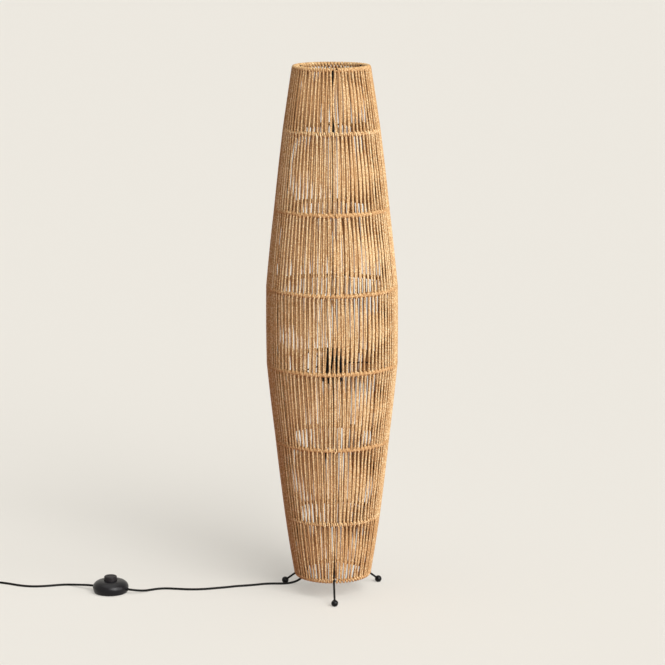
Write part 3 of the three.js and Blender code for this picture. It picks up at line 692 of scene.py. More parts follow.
def piece(
    name: str,
    surface: Surface,
    finish: Finish,
    slot: Slot,
    replaced: tuple[str, ...],
    body: str = LAMP,
    crease: float = CREASE,
) -> bpy.types.Object:
    """Makes a piece of the lamp, ties it to its body and reports it.

    Doubled points, such as those of a turned shape on its axis, are merged, and a mesh whose faces point inwards
    is turned round, which its signed volume tells.

    Args:
        name: The piece's name.
        surface: Its shape in millimetres.
        finish: Its finish.
        slot: The record's slot for its finish; not used.
        replaced: CAD nodes that it stands for.
        body: CAD body that it moves with.
        crease: Angle in degrees past which an edge stays sharp.

    Returns:
        The new object.
    """
    mesh = bpy.data.meshes.new(name)
    mesh.from_pydata((surface.points * MM).tolist(), [], surface.quads.tolist() + surface.caps)
    if surface.uv is not None:
        rest = sum(len(cap) for cap in surface.caps)
        corners = np.vstack([surface.uv, np.zeros((rest, 2))])
        mesh.uv_layers.new(name="lay").data.foreach_set("uv", corners.astype(np.float32).ravel())
    if surface.tone is not None:
        layer = mesh.attributes.new("tone", "FLOAT", "POINT")
        layer.data.foreach_set("value", surface.tone.astype(np.float32))
    shape = bmesh.new()
    shape.from_mesh(mesh)
    if surface.uv is None:
        bmesh.ops.remove_doubles(shape, verts=shape.verts, dist=MERGE_WITHIN)
    if shape.calc_volume(signed=True) < 0:
        bmesh.ops.reverse_faces(shape, faces=shape.faces)
    shape.to_mesh(mesh)
    shape.free()
    mesh.polygons.foreach_set("use_smooth", np.ones(len(mesh.polygons), bool))
    mesh.set_sharp_from_angle(angle=math.radians(crease))
    mesh.materials.append(finish.material())
    made = add_to_scene(name, mesh)
    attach(made, body)
    if replaced:
        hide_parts(*replaced)
    LOG.info("%s: %d faces, %s", name, len(mesh.polygons), finish.name)
    return made


def dress(finish: Finish, *nodes: str) -> list[bpy.types.Object]:
    """Gives CAD nodes that stay in view a finish.

    Args:
        finish: The finish.
        nodes: Names of the nodes.

    Returns:
        The nodes' objects.
    """
    dressed = [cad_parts[name] for name in nodes]
    for shown in dressed:
        shown.data.materials.clear()
        shown.data.materials.append(finish.material())
        LOG.info("%s: frame shape, %s", shown.name, finish.name)
    return dressed


# Sub-assemblies


@dataclass(frozen=True)
class FrameSizes:
    """Sizes that the frame, the winding and the lampholder share."""

    radii: tuple[float, ...] = (78.2, 98.2, 117.5, 135.5, 135.5, 117.5, 98.2, 78.2)
    heights: tuple[float, ...] = (1144.0, 1012.5, 845.1, 677.7, 510.3, 342.9, 175.5, 44.0)
    spider_ring: int = 4
    wire: float = 3.0
    rod: float = 4.5
    rod_gap: float = 0.3
    leg_azimuth: float = 2.0
    legs: tuple[str, ...] = ("front", "right", "left")

    def azimuths(self) -> np.ndarray:
        """The uprights' azimuths."""
        return self.leg_azimuth + CIRCLE / len(self.legs) * np.arange(len(self.legs))


@dataclass
class ShadeFrame:
    """The welded frame: rings, uprights that end as legs, ball feet and the spider."""

    sizes: FrameSizes
    ring_sides: int = 12
    ring_segments: int = 96
    rod_sides: int = 16
    rod_top_rise: float = 1.5
    bend_radius: float = 6.0
    bend_steps: int = 16
    foot_radius: float = 119.0
    ball: float = 15.0
    ball_flat: float = 0.5
    ball_rows: int = 22
    ball_segments: int = 40
    hub_radius: float = 30.0
    hub_bore: float = 20.3
    hub_thickness: float = 2.0
    hub_easing: float = 0.5
    arms: int = 3
    arm_wire: float = 3.0
    arm_sides: int = 12
    arm_stations: int = 8
    arm_azimuth: float = 86.0

    def ring(self, number: int) -> Surface:
        """A torus: the wire's circle carried round the ring's circle.

        Args:
            number: The ring, from 0 at the top.

        Returns:
            The ring.
        """
        radius, height, wire = self.sizes.radii[number], self.sizes.heights[number], self.sizes.wire / 2
        angle = np.linspace(0, 2 * np.pi, self.ring_sides, endpoint=False)
        outline = np.stack([radius + wire * np.cos(angle), height + wire * np.sin(angle)], 1)
        return turned(outline, self.ring_segments)

    def rod_profile(self) -> np.ndarray:
        """An upright's middle line, from its top to the middle of its ball.

        It passes each ring on the inside. Under the bottom ring it bends outwards on an arc that keeps the same
        gap to the wire, whose end slope points at the ball.

        Returns:
            The line's points as (radius, height).
        """
        sizes = self.sizes
        inset = sizes.wire / 2 + sizes.rod_gap + sizes.rod / 2
        line = np.stack([np.array(sizes.radii[:-1]) - inset, np.array(sizes.heights[:-1])], 1)
        line[0, 1] += self.rod_top_rise
        ring_r, ring_z = sizes.radii[-1], sizes.heights[-1]
        ball_z = self.ball / 2 - self.ball_flat
        reach = math.hypot(self.foot_radius - ring_r, ring_z - ball_z)
        slope = math.atan2(ring_z - ball_z, self.foot_radius - ring_r) - math.asin(inset / reach)
        bend = math.pi / 2 - slope
        towards = np.array([math.cos(bend / 2), math.sin(bend / 2)])
        centre = np.array([ring_r, ring_z]) + (self.bend_radius - inset) * towards
        angle = np.pi + bend * np.linspace(0, 1, self.bend_steps + 1)
        arc = centre + self.bend_radius * np.stack([np.cos(angle), np.sin(angle)], 1)
        return np.vstack([line, arc, [[self.foot_radius, ball_z]]])

    def upright(self, azimuth: float) -> Surface:
        """A round rod along the upright's line.

        Args:
            azimuth: Azimuth of the plane in which it lies.

        Returns:
            The upright with its leg.
        """
        line = self.rod_profile()
        across = polar(1.0, azimuth + 90, 0.0)
        return tube(polar(line[:, 0], azimuth, line[:, 1]), self.sizes.rod / 2, self.rod_sides, across)

    def foot(self, azimuth: float) -> Surface:
        """A ball turned about its own axis, with a small flat on the floor.

        Args:
            azimuth: The leg's azimuth.

        Returns:
            The ball foot.
        """
        radius = self.ball / 2
        middle = radius - self.ball_flat
        angle = np.linspace(-math.asin(middle / radius), math.pi / 2, self.ball_rows)
        outline = np.vstack([[[0, 0]], np.stack([radius * np.cos(angle), middle + radius * np.sin(angle)], 1)])
        outline[-1, 0] = 0
        return turned(outline, self.ball_segments).moved(0, tuple(polar(self.foot_radius, azimuth, 0.0)))

    def arm(self, azimuth: float) -> Surface:
        """A straight wire from the hub's edge to the spider's ring.

        Args:
            azimuth: The arm's azimuth.

        Returns:
            The arm.
        """
        sizes = self.sizes
        start = self.hub_radius + sizes.rod_gap
        end = sizes.radii[sizes.spider_ring] - sizes.wire / 2 - sizes.rod_gap
        path = polar(np.linspace(start, end, self.arm_stations), azimuth, sizes.heights[sizes.spider_ring])
        return tube(path, self.arm_wire / 2, self.arm_sides, UP)

    def hub(self) -> Surface:
        """A flat ring with eased edges.

        Returns:
            The hub.
        """
        middle, half = self.sizes.heights[self.sizes.spider_ring], self.hub_thickness / 2
        inner, outer, low, high = self.hub_bore, self.hub_radius, middle - half, middle + half
        return turned(eased([(inner, low), (outer, low), (outer, high), (inner, high)], self.hub_easing))

    def build(self) -> None:
        """Makes every piece of the frame."""
        for number in range(len(self.sizes.radii)):
            piece(f"ring_wire_{number + 1}", self.ring(number), STEEL_COAT, Slot.FRAME, (f"ring_{number + 1}",))
        for azimuth, name in zip(self.sizes.azimuths(), self.sizes.legs):
            piece(f"rod_{name}", self.upright(azimuth), STEEL_COAT, Slot.FRAME, (f"upright_{name}",), crease=60)
            piece(f"ball_{name}", self.foot(azimuth), BALL_COAT, Slot.FEET, (f"ball_foot_{name}",))
        piece("hub_plate", self.hub(), STEEL_COAT, Slot.SPIDER, ("spider_hub",))
        for number in range(self.arms):
            arm = self.arm(self.arm_azimuth + CIRCLE / self.arms * number)
            piece(f"arm_wire_{number + 1}", arm, STEEL_COAT, Slot.SPIDER, (f"spider_arm_{number + 1}",))


def signed(angle: np.ndarray) -> np.ndarray:
    """Angles in degrees brought between minus and plus half a circle."""
    return (angle + CIRCLE / 2) % CIRCLE - CIRCLE / 2


def following(azimuth: np.ndarray) -> np.ndarray:
    """The azimuth of the loop after each loop, where the last one meets the first a full circle on."""
    return np.append(azimuth[1:], azimuth[0] + CIRCLE)


def held_normal(rng: np.random.Generator, spread: float, shape: tuple[int, int]) -> np.ndarray:
    """Normal random numbers about 0, held within twice their spread."""
    return rng.normal(0, spread, shape).clip(-2 * spread, 2 * spread)


@dataclass
class CordWinding:
    """The shade's cord: seven bays of loops round neighbouring rings, and an edging on the end rings.

    The loops of neighbouring bays take turns on the ring that they share. On the wide rings a loop of the bay below
    also makes one extra turn, so that the hem closes over the wire. Bays and rings are counted from 0 at the top,
    and azimuths from the front upright.

    Attributes:
        sizes: The frame's sizes.
        cord: The cord's diameter.
        wrap: Radius at which the cord's middle goes round a wire.
        loops: Loops in each bay.
        first_phase: Place of the top bay's first loop, in steps of the loops.
        turned_on: Steps by which each bay is turned on.
        pair_gaps: Distance between a loop's two strands at each ring.
        drawn_out: How far the inner strands come forward halfway down.
        extra_turn_from: Radius past which the loops make an extra turn on a ring.
        parted_above: Bays whose strands leave the uprights free at their upper ring, rather than cover them.
        parted_below: The same for the lower ring.
        bowed_bays: Bays in which a strand bows in front of the front upright.
        rod_clear: Distance that a strand keeps from an upright, between their middles.
        neighbour_share: Share of a covering strand's move that its neighbours make with it.
        lead: Distance of a run's first and last points from the wraps.
        run_middle: Shares of the way down at which a run has its other points.
        run_bow: Share of a bow at each point of a run.
        wrap_slide: Share of a wrap's slide that is done at each of its points.
        extra_points: Points of a wrap that has an extra turn.
        extra_slide: Share of its slide that is done when the extra turn starts.
        hem_slide: How far a wrap slides, in places of the hem.
        bow_share: Share of a loop's random middle shift that it bows by.
        unevenness: Spread of the random shifts of the loops.
        looseness: Spread of those between the strands of a loop.
        slack: The most that a strand comes forward, or an inner one stays back, by chance.
        sides: Sides of the cord's tube.
        edging_points: Points in a turn of the edging.
        tone_shape: Both shape numbers of the beta distribution of the tones.
        bay_painted_shade: Painted shade added to the tones of each bay, most on the top and bottom bays.
        hem_painted_shading: Painted light and shade added to the tones on each ring, lowered on most rings and raised
            on the second and seventh.
        seed: Seed of the top bay.
        edging_seed: Added to it for the edging.
    """

    sizes: FrameSizes
    cord: float = 3.95
    wrap: float = 3.5
    loops: tuple[int, ...] = (66, 75, 87, 87, 87, 75, 66)
    first_phase: float = 0.5
    turned_on: tuple[float, ...] = (0.0, 0.0, 0.25, 0.0, 0.0, 0.0, 0.0)
    pair_gaps: tuple[float, ...] = (3.0, 3.2, 3.2, 3.2, 1.4, 3.2, 3.2, 3.0)
    drawn_out: float = 6.0
    extra_turn_from: float = 110.0
    parted_above: tuple[int, ...] = (0,)
    parted_below: tuple[int, ...] = (0, 6)
    bowed_bays: tuple[int, ...] = (0,)
    rod_clear: float = 4.35
    neighbour_share: float = 0.4
    lead: float = 7.0
    run_middle: tuple[float, ...] = (0.27, 0.5, 0.73)
    run_bow: tuple[float, ...] = (0.0, 0.7, 1.0, 0.7, 0.0)
    wrap_slide: tuple[float, ...] = (0.0, 0.12, 0.5, 0.88, 1.0)
    extra_points: int = 13
    extra_slide: float = 0.375
    hem_slide: float = 0.6
    bow_share: float = 0.6
    unevenness: float = 0.8
    looseness: float = 0.5
    slack: float = 0.8
    sides: int = 6
    edging_points: int = 10
    tone_shape: float = 4.5
    # painted shade: the tones of the top and bottom bays are lowered
    bay_painted_shade: tuple[float, ...] = (-0.3, -0.05, 0.0, 0.0, 0.0, -0.1, -0.35)
    # painted light and shade: the tones of each ring's hem are lowered or raised
    hem_painted_shading: tuple[float, ...] = (-0.35, 0.1, -0.55, -0.5, -0.5, -0.5, 0.1, -0.3)
    seed: int = 11
    edging_seed: int = 100

    def degrees(self, radius: float) -> float:
        """The angle of one millimetre round a ring."""
        return math.degrees(1 / radius)

    def extra(self, ring: int) -> bool:
        """Whether the loops of the bay below make an extra turn on a ring."""
        return 0 < ring < len(self.loops) and self.sizes.radii[ring] > self.extra_turn_from

    def wire(self, ring: int) -> np.ndarray:
        """The middle of a ring's wire as (radius, height)."""
        return np.array([self.sizes.radii[ring], self.sizes.heights[ring]])

    def even(self, bay: int) -> np.ndarray:
        """A bay's loops spread evenly, at (k + phase) steps.

        From one bay to the next the phase goes on by half a step, or by a third past a ring with extra turns.

        Args:
            bay: The bay.

        Returns:
            The azimuths of its loops.
        """
        moved = sum(1 / 3 if self.extra(ring) else 1 / 2 for ring in range(1, bay + 1))
        phase = self.first_phase + self.turned_on[bay] + moved
        return (np.arange(self.loops[bay]) + phase % 1) * CIRCLE / self.loops[bay]

    def pair(self, bay: int, ring: int) -> float:
        """The angle between a loop's outer and inner strand at a ring, at most half a step."""
        return min(self.pair_gaps[ring] * self.degrees(self.sizes.radii[ring]), CIRCLE / self.loops[bay] / 2)

    def places(self, ring: int) -> tuple[float, np.ndarray, np.ndarray]:
        """How the loops above and below a ring share it out.

        In the order of their even azimuths they get places of one width: one place for a loop, and two for a loop
        that makes an extra turn. On an end ring the turns of the edging stand for the missing loops, half a step
        from the others. The whole row is shifted so that its mean stays where it was.

        Args:
            ring: The ring.

        Returns:
            The width in degrees, the azimuths of the loops above, and those of the last turns of the loops below.
        """
        last = len(self.loops)
        end = min(ring, last - 1)
        edging = self.even(end) + CIRCLE / self.loops[end] / 2
        above = edging if ring == 0 else self.even(ring - 1)
        below = edging if ring == last else self.even(ring)
        both = np.concatenate([above, below])
        taken = np.concatenate([np.ones(len(above)), np.full(len(below), 2.0 if self.extra(ring) else 1.0)])
        order, width = np.argsort(both, kind="stable"), CIRCLE / taken.sum()
        place = np.empty(len(both))
        place[order] = (np.cumsum(taken[order]) - 0.5) * width
        place += (both - place).mean()
        return width, place[: len(above)], place[len(above) :]

    def run(self, azimuth: np.ndarray, radius: float, covering: bool) -> np.ndarray:
        """Where strands hang between the rings, past the uprights.

        For each upright, d is a strand's distance from it round the shade. Strands nearer than the clear distance
        are moved out to it. Covering strands instead hang in front: the nearest one moves by -d, and its two
        neighbours by a share of that.

        Args:
            azimuth: Azimuths at the ring.
            radius: The ring's radius.
            covering: Whether the nearest strand hangs in front of the upright.

        Returns:
            The moved azimuths.
        """
        clear, moved = self.rod_clear * self.degrees(radius), azimuth.copy()
        for upright in self.sizes.azimuths() - self.sizes.leg_azimuth:
            d = signed(azimuth - upright)
            if covering:
                nearest = int(np.abs(d).argmin())
                around = (nearest + np.array([-1, 0, 1])) % len(azimuth)
                moved[around] -= d[nearest] * np.array([self.neighbour_share, 1.0, self.neighbour_share])
            else:
                near = np.abs(d) < clear
                moved[near] += (np.where(d < 0, -clear, clear) - d)[near]
        return moved

    def over(self, bay: int) -> tuple[np.ndarray, np.ndarray]:
        """The wrap over a bay's upper ring.

        Args:
            bay: The bay.

        Returns:
            Its angles in degrees, which are 180 inside, 90 on top, 0 outside and on to -360 for an extra turn, and the
            shares of the slide that are done by them.
        """
        if self.extra(bay):
            angle = np.linspace(180, -360, self.extra_points)
            return angle, np.interp(-angle, [-180, 0, 360], [0, self.extra_slide, 1])
        return np.linspace(180, 0, len(self.wrap_slide)), np.array(self.wrap_slide)

    def down(self, bay: int) -> np.ndarray:
        """Shares of the way down at which the runs of a bay have their points."""
        ends = self.lead / float(np.linalg.norm(self.wire(bay + 1) - self.wire(bay)))
        return np.array([ends, *self.run_middle, 1 - ends])

    def belt(self, bay: int) -> list[np.ndarray]:
        """The path of a bay's loops in the plane of (radius, height), a belt round the two wires.

        e is the unit vector from the upper wire to the lower one and n the outward one square to it. The upper wrap
        is wire + wrap * (cos(a) * n - sin(a) * e), and the lower one is wire + wrap * (cos(b) * n + sin(b) * e).

        Args:
            bay: The bay.

        Returns:
            The points over the upper ring, down the outside, under the lower ring and up the inside.
        """
        upper, lower = self.wire(bay), self.wire(bay + 1)
        e = unit(lower - upper)
        n = np.array([-e[1], e[0]])
        a = np.radians(self.over(bay)[0])[:, None]
        b = np.linspace(0, np.pi, len(self.wrap_slide))[:, None]
        over = upper + self.wrap * (np.cos(a) * n - np.sin(a) * e)
        under = lower + self.wrap * (np.cos(b) * n + np.sin(b) * e)
        down = self.down(bay)[:, None]
        return [over, over[-1] + (under[0] - over[-1]) * down, under, under[-1] + (over[0] - under[-1]) * down]

    def azimuths(self, bay: int, rng: np.random.Generator) -> np.ndarray:
        """Where the loops of a bay lie round the shade at the points of their belt.

        On the wraps a loop slides through its places on the ring, and on the runs the loops hang evenly, each inner
        strand behind its outer one and past the uprights. Towards the middle the inner strand goes halfway between
        two outer ones. Random shifts of both ends and of the middle of a loop make the spacing uneven, and smaller
        ones part its two strands.

        Args:
            bay: The bay.
            rng: Its random numbers.

        Returns:
            A row for each loop.
        """
        even, top, low = self.even(bay), self.sizes.radii[bay], self.sizes.radii[bay + 1]
        unit_top, unit_low = self.degrees(top), self.degrees(low)
        shift = held_normal(rng, self.unevenness, (3, len(even)))
        part = held_normal(rng, self.looseness, (2, len(even)))
        width_top, _, outer_top = self.places(bay)
        width_low, outer_low, _ = self.places(bay + 1)
        if bay == len(self.loops) - 1:
            outer_low = self.run(outer_low, low, False)
        start = outer_top - width_top * (self.hem_slide + (1 if self.extra(bay) else 0))
        before = np.roll(self.run(following(start), top, False), 1)
        before[0] -= CIRCLE
        inner_low = self.run(outer_low + self.hem_slide * width_low, low, False)
        run_top = self.run(even + shift[0] * unit_top, top, bay not in self.parted_above)
        run_low = self.run(even + shift[1] * unit_low, low, bay not in self.parted_below)
        back_top = self.run(even + self.pair(bay, bay) + (shift[0] + part[0]) * unit_top, top, False)
        back_low = self.run(even + self.pair(bay, bay + 1) + (shift[1] + part[1]) * unit_low, low, False)
        bow = self.bow_share * shift[2] * unit_top
        if bay in self.bowed_bays:
            off = signed((run_top + run_low) / 2)
            nearest = int(np.abs(off).argmin())
            bow[nearest] = -off[nearest]
        middle = (run_top + run_low) / 2 + bow
        back_bow = (middle + following(middle)) / 2 - (back_top + back_low) / 2
        down, curve = self.down(bay), np.array(self.run_bow)
        return np.hstack([
            between(before, outer_top, self.over(bay)[1]),
            between(run_top, run_low, down) + bow[:, None] * curve,
            between(outer_low, inner_low, np.array(self.wrap_slide)),
            between(back_low, back_top, down) + back_bow[:, None] * curve,
        ])

    def strand(self, radius: np.ndarray, azimuth: np.ndarray, height: np.ndarray, tone: np.ndarray) -> Surface:
        """A tube of cord.

        Args:
            radius: Distance of each point from the shade's axis.
            azimuth: Azimuth of each point.
            height: Height of each point.
            tone: Tone of each point.

        Returns:
            The tube.
        """
        azimuth = self.sizes.leg_azimuth + azimuth
        path, across = polar(radius, azimuth, height), polar(1.0, azimuth + 90, 0.0)
        return tube(path.reshape(-1, 3), self.cord / 2, self.sides, across.reshape(-1, 3), tone.ravel())

    def bay(self, number: int) -> Surface:
        """The loops of one bay, as one unbroken tube.

        Towards the middle of the bay an outer strand comes forward by a random slack, and an inner one by the
        drawn-out distance less such a slack, so that they hang in almost one layer. A loop's two strands have tones
        of their own, which change on the lowest point of the loop.

        Args:
            number: The bay.

        Returns:
            The bay's tube.
        """
        rng, count = np.random.default_rng(self.seed + number), self.loops[number]
        stretches, azimuth = self.belt(number), self.azimuths(number, rng)
        station = np.arange(azimuth.shape[1])
        over, outside, under, inside = np.split(station, np.cumsum([len(stretch) for stretch in stretches[:-1]]))
        forward, curve = np.zeros(azimuth.shape), np.array(self.run_bow)
        forward[:, outside] = rng.uniform(0, self.slack, (count, 1)) * curve
        forward[:, inside] = (self.drawn_out - rng.uniform(0, self.slack, (count, 1))) * curve
        # each bay's painted shade lowers the tones of its strands
        tones = rng.beta(self.tone_shape, self.tone_shape, (2, count))[:, :, None] + self.bay_painted_shade[number]
        tone = np.where(station <= under.mean(), tones[0], tones[1])
        # painted light and shade on the hems: the wraps' tones are lowered or raised for each ring
        tone[:, over] += self.hem_painted_shading[number]
        tone[:, under] += self.hem_painted_shading[number + 1]
        radius, height = np.vstack(stretches).T
        return self.strand(radius + forward, azimuth, height, tone)

    def edging(self, ring: int, first: float, turns: int, width: float) -> Surface:
        """Turns of cord round an end ring, which pass its outside between the loops.

        The cord is a helix about the ring's wire: radius + wrap * cos(b), height + wrap * sin(b), with b falling
        by a full circle for each step of the azimuth.

        Args:
            ring: The ring.
            first: Azimuth of the first turn's place.
            turns: How many turns follow it.
            width: Step of the azimuth between them.

        Returns:
            The edging's tube.
        """
        rng = np.random.default_rng(self.seed + self.edging_seed + ring + turns)
        radius, height = self.wire(ring)
        steps = np.arange(turns * self.edging_points + 1) / self.edging_points
        b = -2 * math.pi * steps
        # the ring's painted light and shade is added to the edging's tones
        tones = rng.beta(self.tone_shape, self.tone_shape, turns + 1) + self.hem_painted_shading[ring]
        tone = np.repeat(tones, self.edging_points)[: len(steps)]
        return self.strand(radius + self.wrap * np.cos(b), first + width * steps, height + self.wrap * np.sin(b), tone)

    def build(self) -> None:
        """Makes the bays, the edging of the top ring, and that of the bottom ring between the legs."""
        last, legs = len(self.loops), len(self.sizes.legs)
        for number in range(last):
            replaced = (f"winding_bay_{number + 1}",)
            piece(f"cord_bay_{number + 1}", self.bay(number), PAPER, Slot.WINDING, replaced, crease=TUBE_CREASE)
        _, above, _ = self.places(0)
        top = self.edging(0, above[0], len(above) - 1, CIRCLE / len(above))
        piece("top_edging", top, PAPER, Slot.WINDING, (), crease=TUBE_CREASE)
        clear, share = self.rod_clear * self.degrees(self.sizes.radii[last]), CIRCLE / legs
        turns = round((share - 2 * clear) / (CIRCLE / self.loops[-1]))
        for part in range(legs):
            arc = self.edging(last, part * share + clear, turns, (share - 2 * clear) / turns)
            replaced = () if part else ("winding_bottom_hem",)
            piece(f"bottom_edging_{part + 1}", arc, PAPER, Slot.WINDING, replaced, crease=TUBE_CREASE)


@dataclass
class Lampholder:
    """The screw lampholder that the hub carries between two shade rings."""

    sizes: FrameSizes
    sleeve_radius: float = 20.0
    sleeve_bore: float = 17.0
    sleeve_bottom: float = 469.1
    sleeve_top: float = 538.3
    thread_gap: float = 0.3
    cap_radius: float = 22.0
    cap_bottom: float = 466.3
    cap_top: float = 500.3
    cap_chamfer: float = 4.0
    cap_floor: float = 2.5
    ring_radius: float = 30.0
    ring_from_hub: float = 1.3
    ring_rim: float = 4.0
    ring_depth: float = 5.5
    ring_wall: float = 3.0
    insulator_radius: float = 16.7
    insulator_top: float = 484.1
    contact_radius: float = 3.5
    contact_top: float = 488.0
    shell_bottom: float = 484.4
    shell_top: float = 511.4
    shell_bore: float = 13.6
    shell_wall: float = 1.0
    shell_rows: int = 60
    shell_columns: int = 64
    thread_pitch: float = 3.6
    thread_depth: float = 0.8
    thread_fade: float = 3.0

    def cap(self) -> Surface:
        """The cap's outline with its chamfered foot, grooved round the outside for the fingers.

        Returns:
            The cap.
        """
        edge, bottom, top = self.cap_radius, self.cap_bottom, self.cap_top
        inner, floor = self.sleeve_radius + self.thread_gap, bottom + self.cap_floor
        foot = [(0, bottom), (edge - self.cap_chamfer, bottom), (edge, bottom + self.cap_chamfer)]
        corners = [*foot, (edge, top), (inner, top), (inner, floor), (0, floor)]
        return turned(eased(corners, 0.8), segments=96, ribs=24, depth=0.5, beyond=edge - 0.9)

    def sleeve(self) -> Surface:
        """A plain tube with eased lips.

        Returns:
            The sleeve.
        """
        bore, edge, bottom, top = self.sleeve_bore, self.sleeve_radius, self.sleeve_bottom, self.sleeve_top
        return turned(eased([(bore, bottom), (edge, bottom), (edge, top), (bore, top)], 0.9))

    def shade_ring(self, side: int) -> Surface:
        """A threaded ring: a flange with fine grip ribs and a narrower collar away from the hub.

        Args:
            side: 1 for the ring over the hub, and -1 for the one under it.

        Returns:
            The ring.
        """
        bore, edge = self.sleeve_radius + self.thread_gap, self.ring_radius
        face = self.sizes.heights[self.sizes.spider_ring] + side * self.ring_from_hub
        rim, end = face + side * self.ring_rim, face + side * self.ring_depth
        corners = [(bore, face), (edge, face), (edge, rim), (bore + self.ring_wall, end), (bore, end)]
        return turned(eased(corners, 0.6), segments=192, ribs=48, depth=0.6, beyond=edge - 0.7)

    def shell(self) -> Surface:
        """The screw shell: a thin wall whose radius waves with the thread.

        Both faces of the wall lie at radius - depth * fade * (1 + cos(2 pi * height / pitch - angle)) / 2, where the
        fade goes to 0 at the ends.

        Returns:
            The shell.
        """
        rows, columns, low, high = self.shell_rows, self.shell_columns, self.shell_bottom, self.shell_top
        height = np.linspace(low, high, rows)[:, None]
        angle = np.linspace(0, 2 * np.pi, columns, endpoint=False)[None, :]
        fade = np.clip(np.minimum(height - low, high - height) / self.thread_fade, 0, 1)
        wave = self.thread_depth * fade * (0.5 + 0.5 * np.cos(2 * np.pi * height / self.thread_pitch - angle))
        inner = self.shell_bore - wave
        radius, level = np.vstack([inner + self.shell_wall, inner[::-1]]), np.vstack([height, height[::-1]])
        points = np.stack(np.broadcast_arrays(radius * np.cos(angle), radius * np.sin(angle), level), -1)
        return Surface(points.reshape(-1, 3), grid_quads(2 * rows, columns, True))

    def disc(self, radius: float, bottom: float, top: float, easing: float) -> Surface:
        """A round block on the axis."""
        return turned(eased([(0, bottom), (radius, bottom), (radius, top), (0, top)], easing))

    def grip(self) -> Surface:
        """The cord grip: a flange with six flats and a tapered neck with three shallow grooves.

        Returns:
            The grip.
        """
        flange = [(0, 466.0), (8, 466.0), (8, 462.0), (6, 462.0)]
        grooves = [(5.6, 458.4), (5.1, 457.9), (5.0, 456.6), (5.2, 456.1), (4.9, 453.6), (4.4, 453.1), (4.4, 451.9)]
        end = [(4.6, 451.4), (4.0, 448.0), (0, 448.0)]
        return turned(eased(flange + grooves + end, 0.3), segments=48, ribs=6, depth=0.5, beyond=7.5)

    def build(self) -> None:
        """Makes the lampholder's pieces."""
        piece("holder_cap", self.cap(), HOLDER_BLACK, Slot.HOLDER, ("lampholder_cap",))
        piece("holder_sleeve", self.sleeve(), HOLDER_BLACK, Slot.HOLDER, ("lampholder_sleeve",))
        piece("grip_ring_lower", self.shade_ring(-1), HOLDER_BLACK, Slot.HOLDER, ("shade_ring_lower",))
        piece("grip_ring_upper", self.shade_ring(1), HOLDER_BLACK, Slot.HOLDER, ("shade_ring_upper",))
        insulator = self.disc(self.insulator_radius, self.sleeve_bottom, self.insulator_top, easing=0.8)
        piece("holder_insulator", insulator, CERAMIC, Slot.CERAMIC, ("lampholder_insulator",))
        piece("threaded_shell", self.shell(), BRASS, Slot.BRASS, ("screw_shell",), crease=50)
        contact = self.disc(self.contact_radius, self.shell_bottom, self.contact_top, easing=1.2)
        piece("contact_button", contact, BRASS, Slot.BRASS, ("centre_contact",))
        piece("holder_grip", self.grip(), HOLDER_BLACK, Slot.HOLDER, ("cord_grip",))


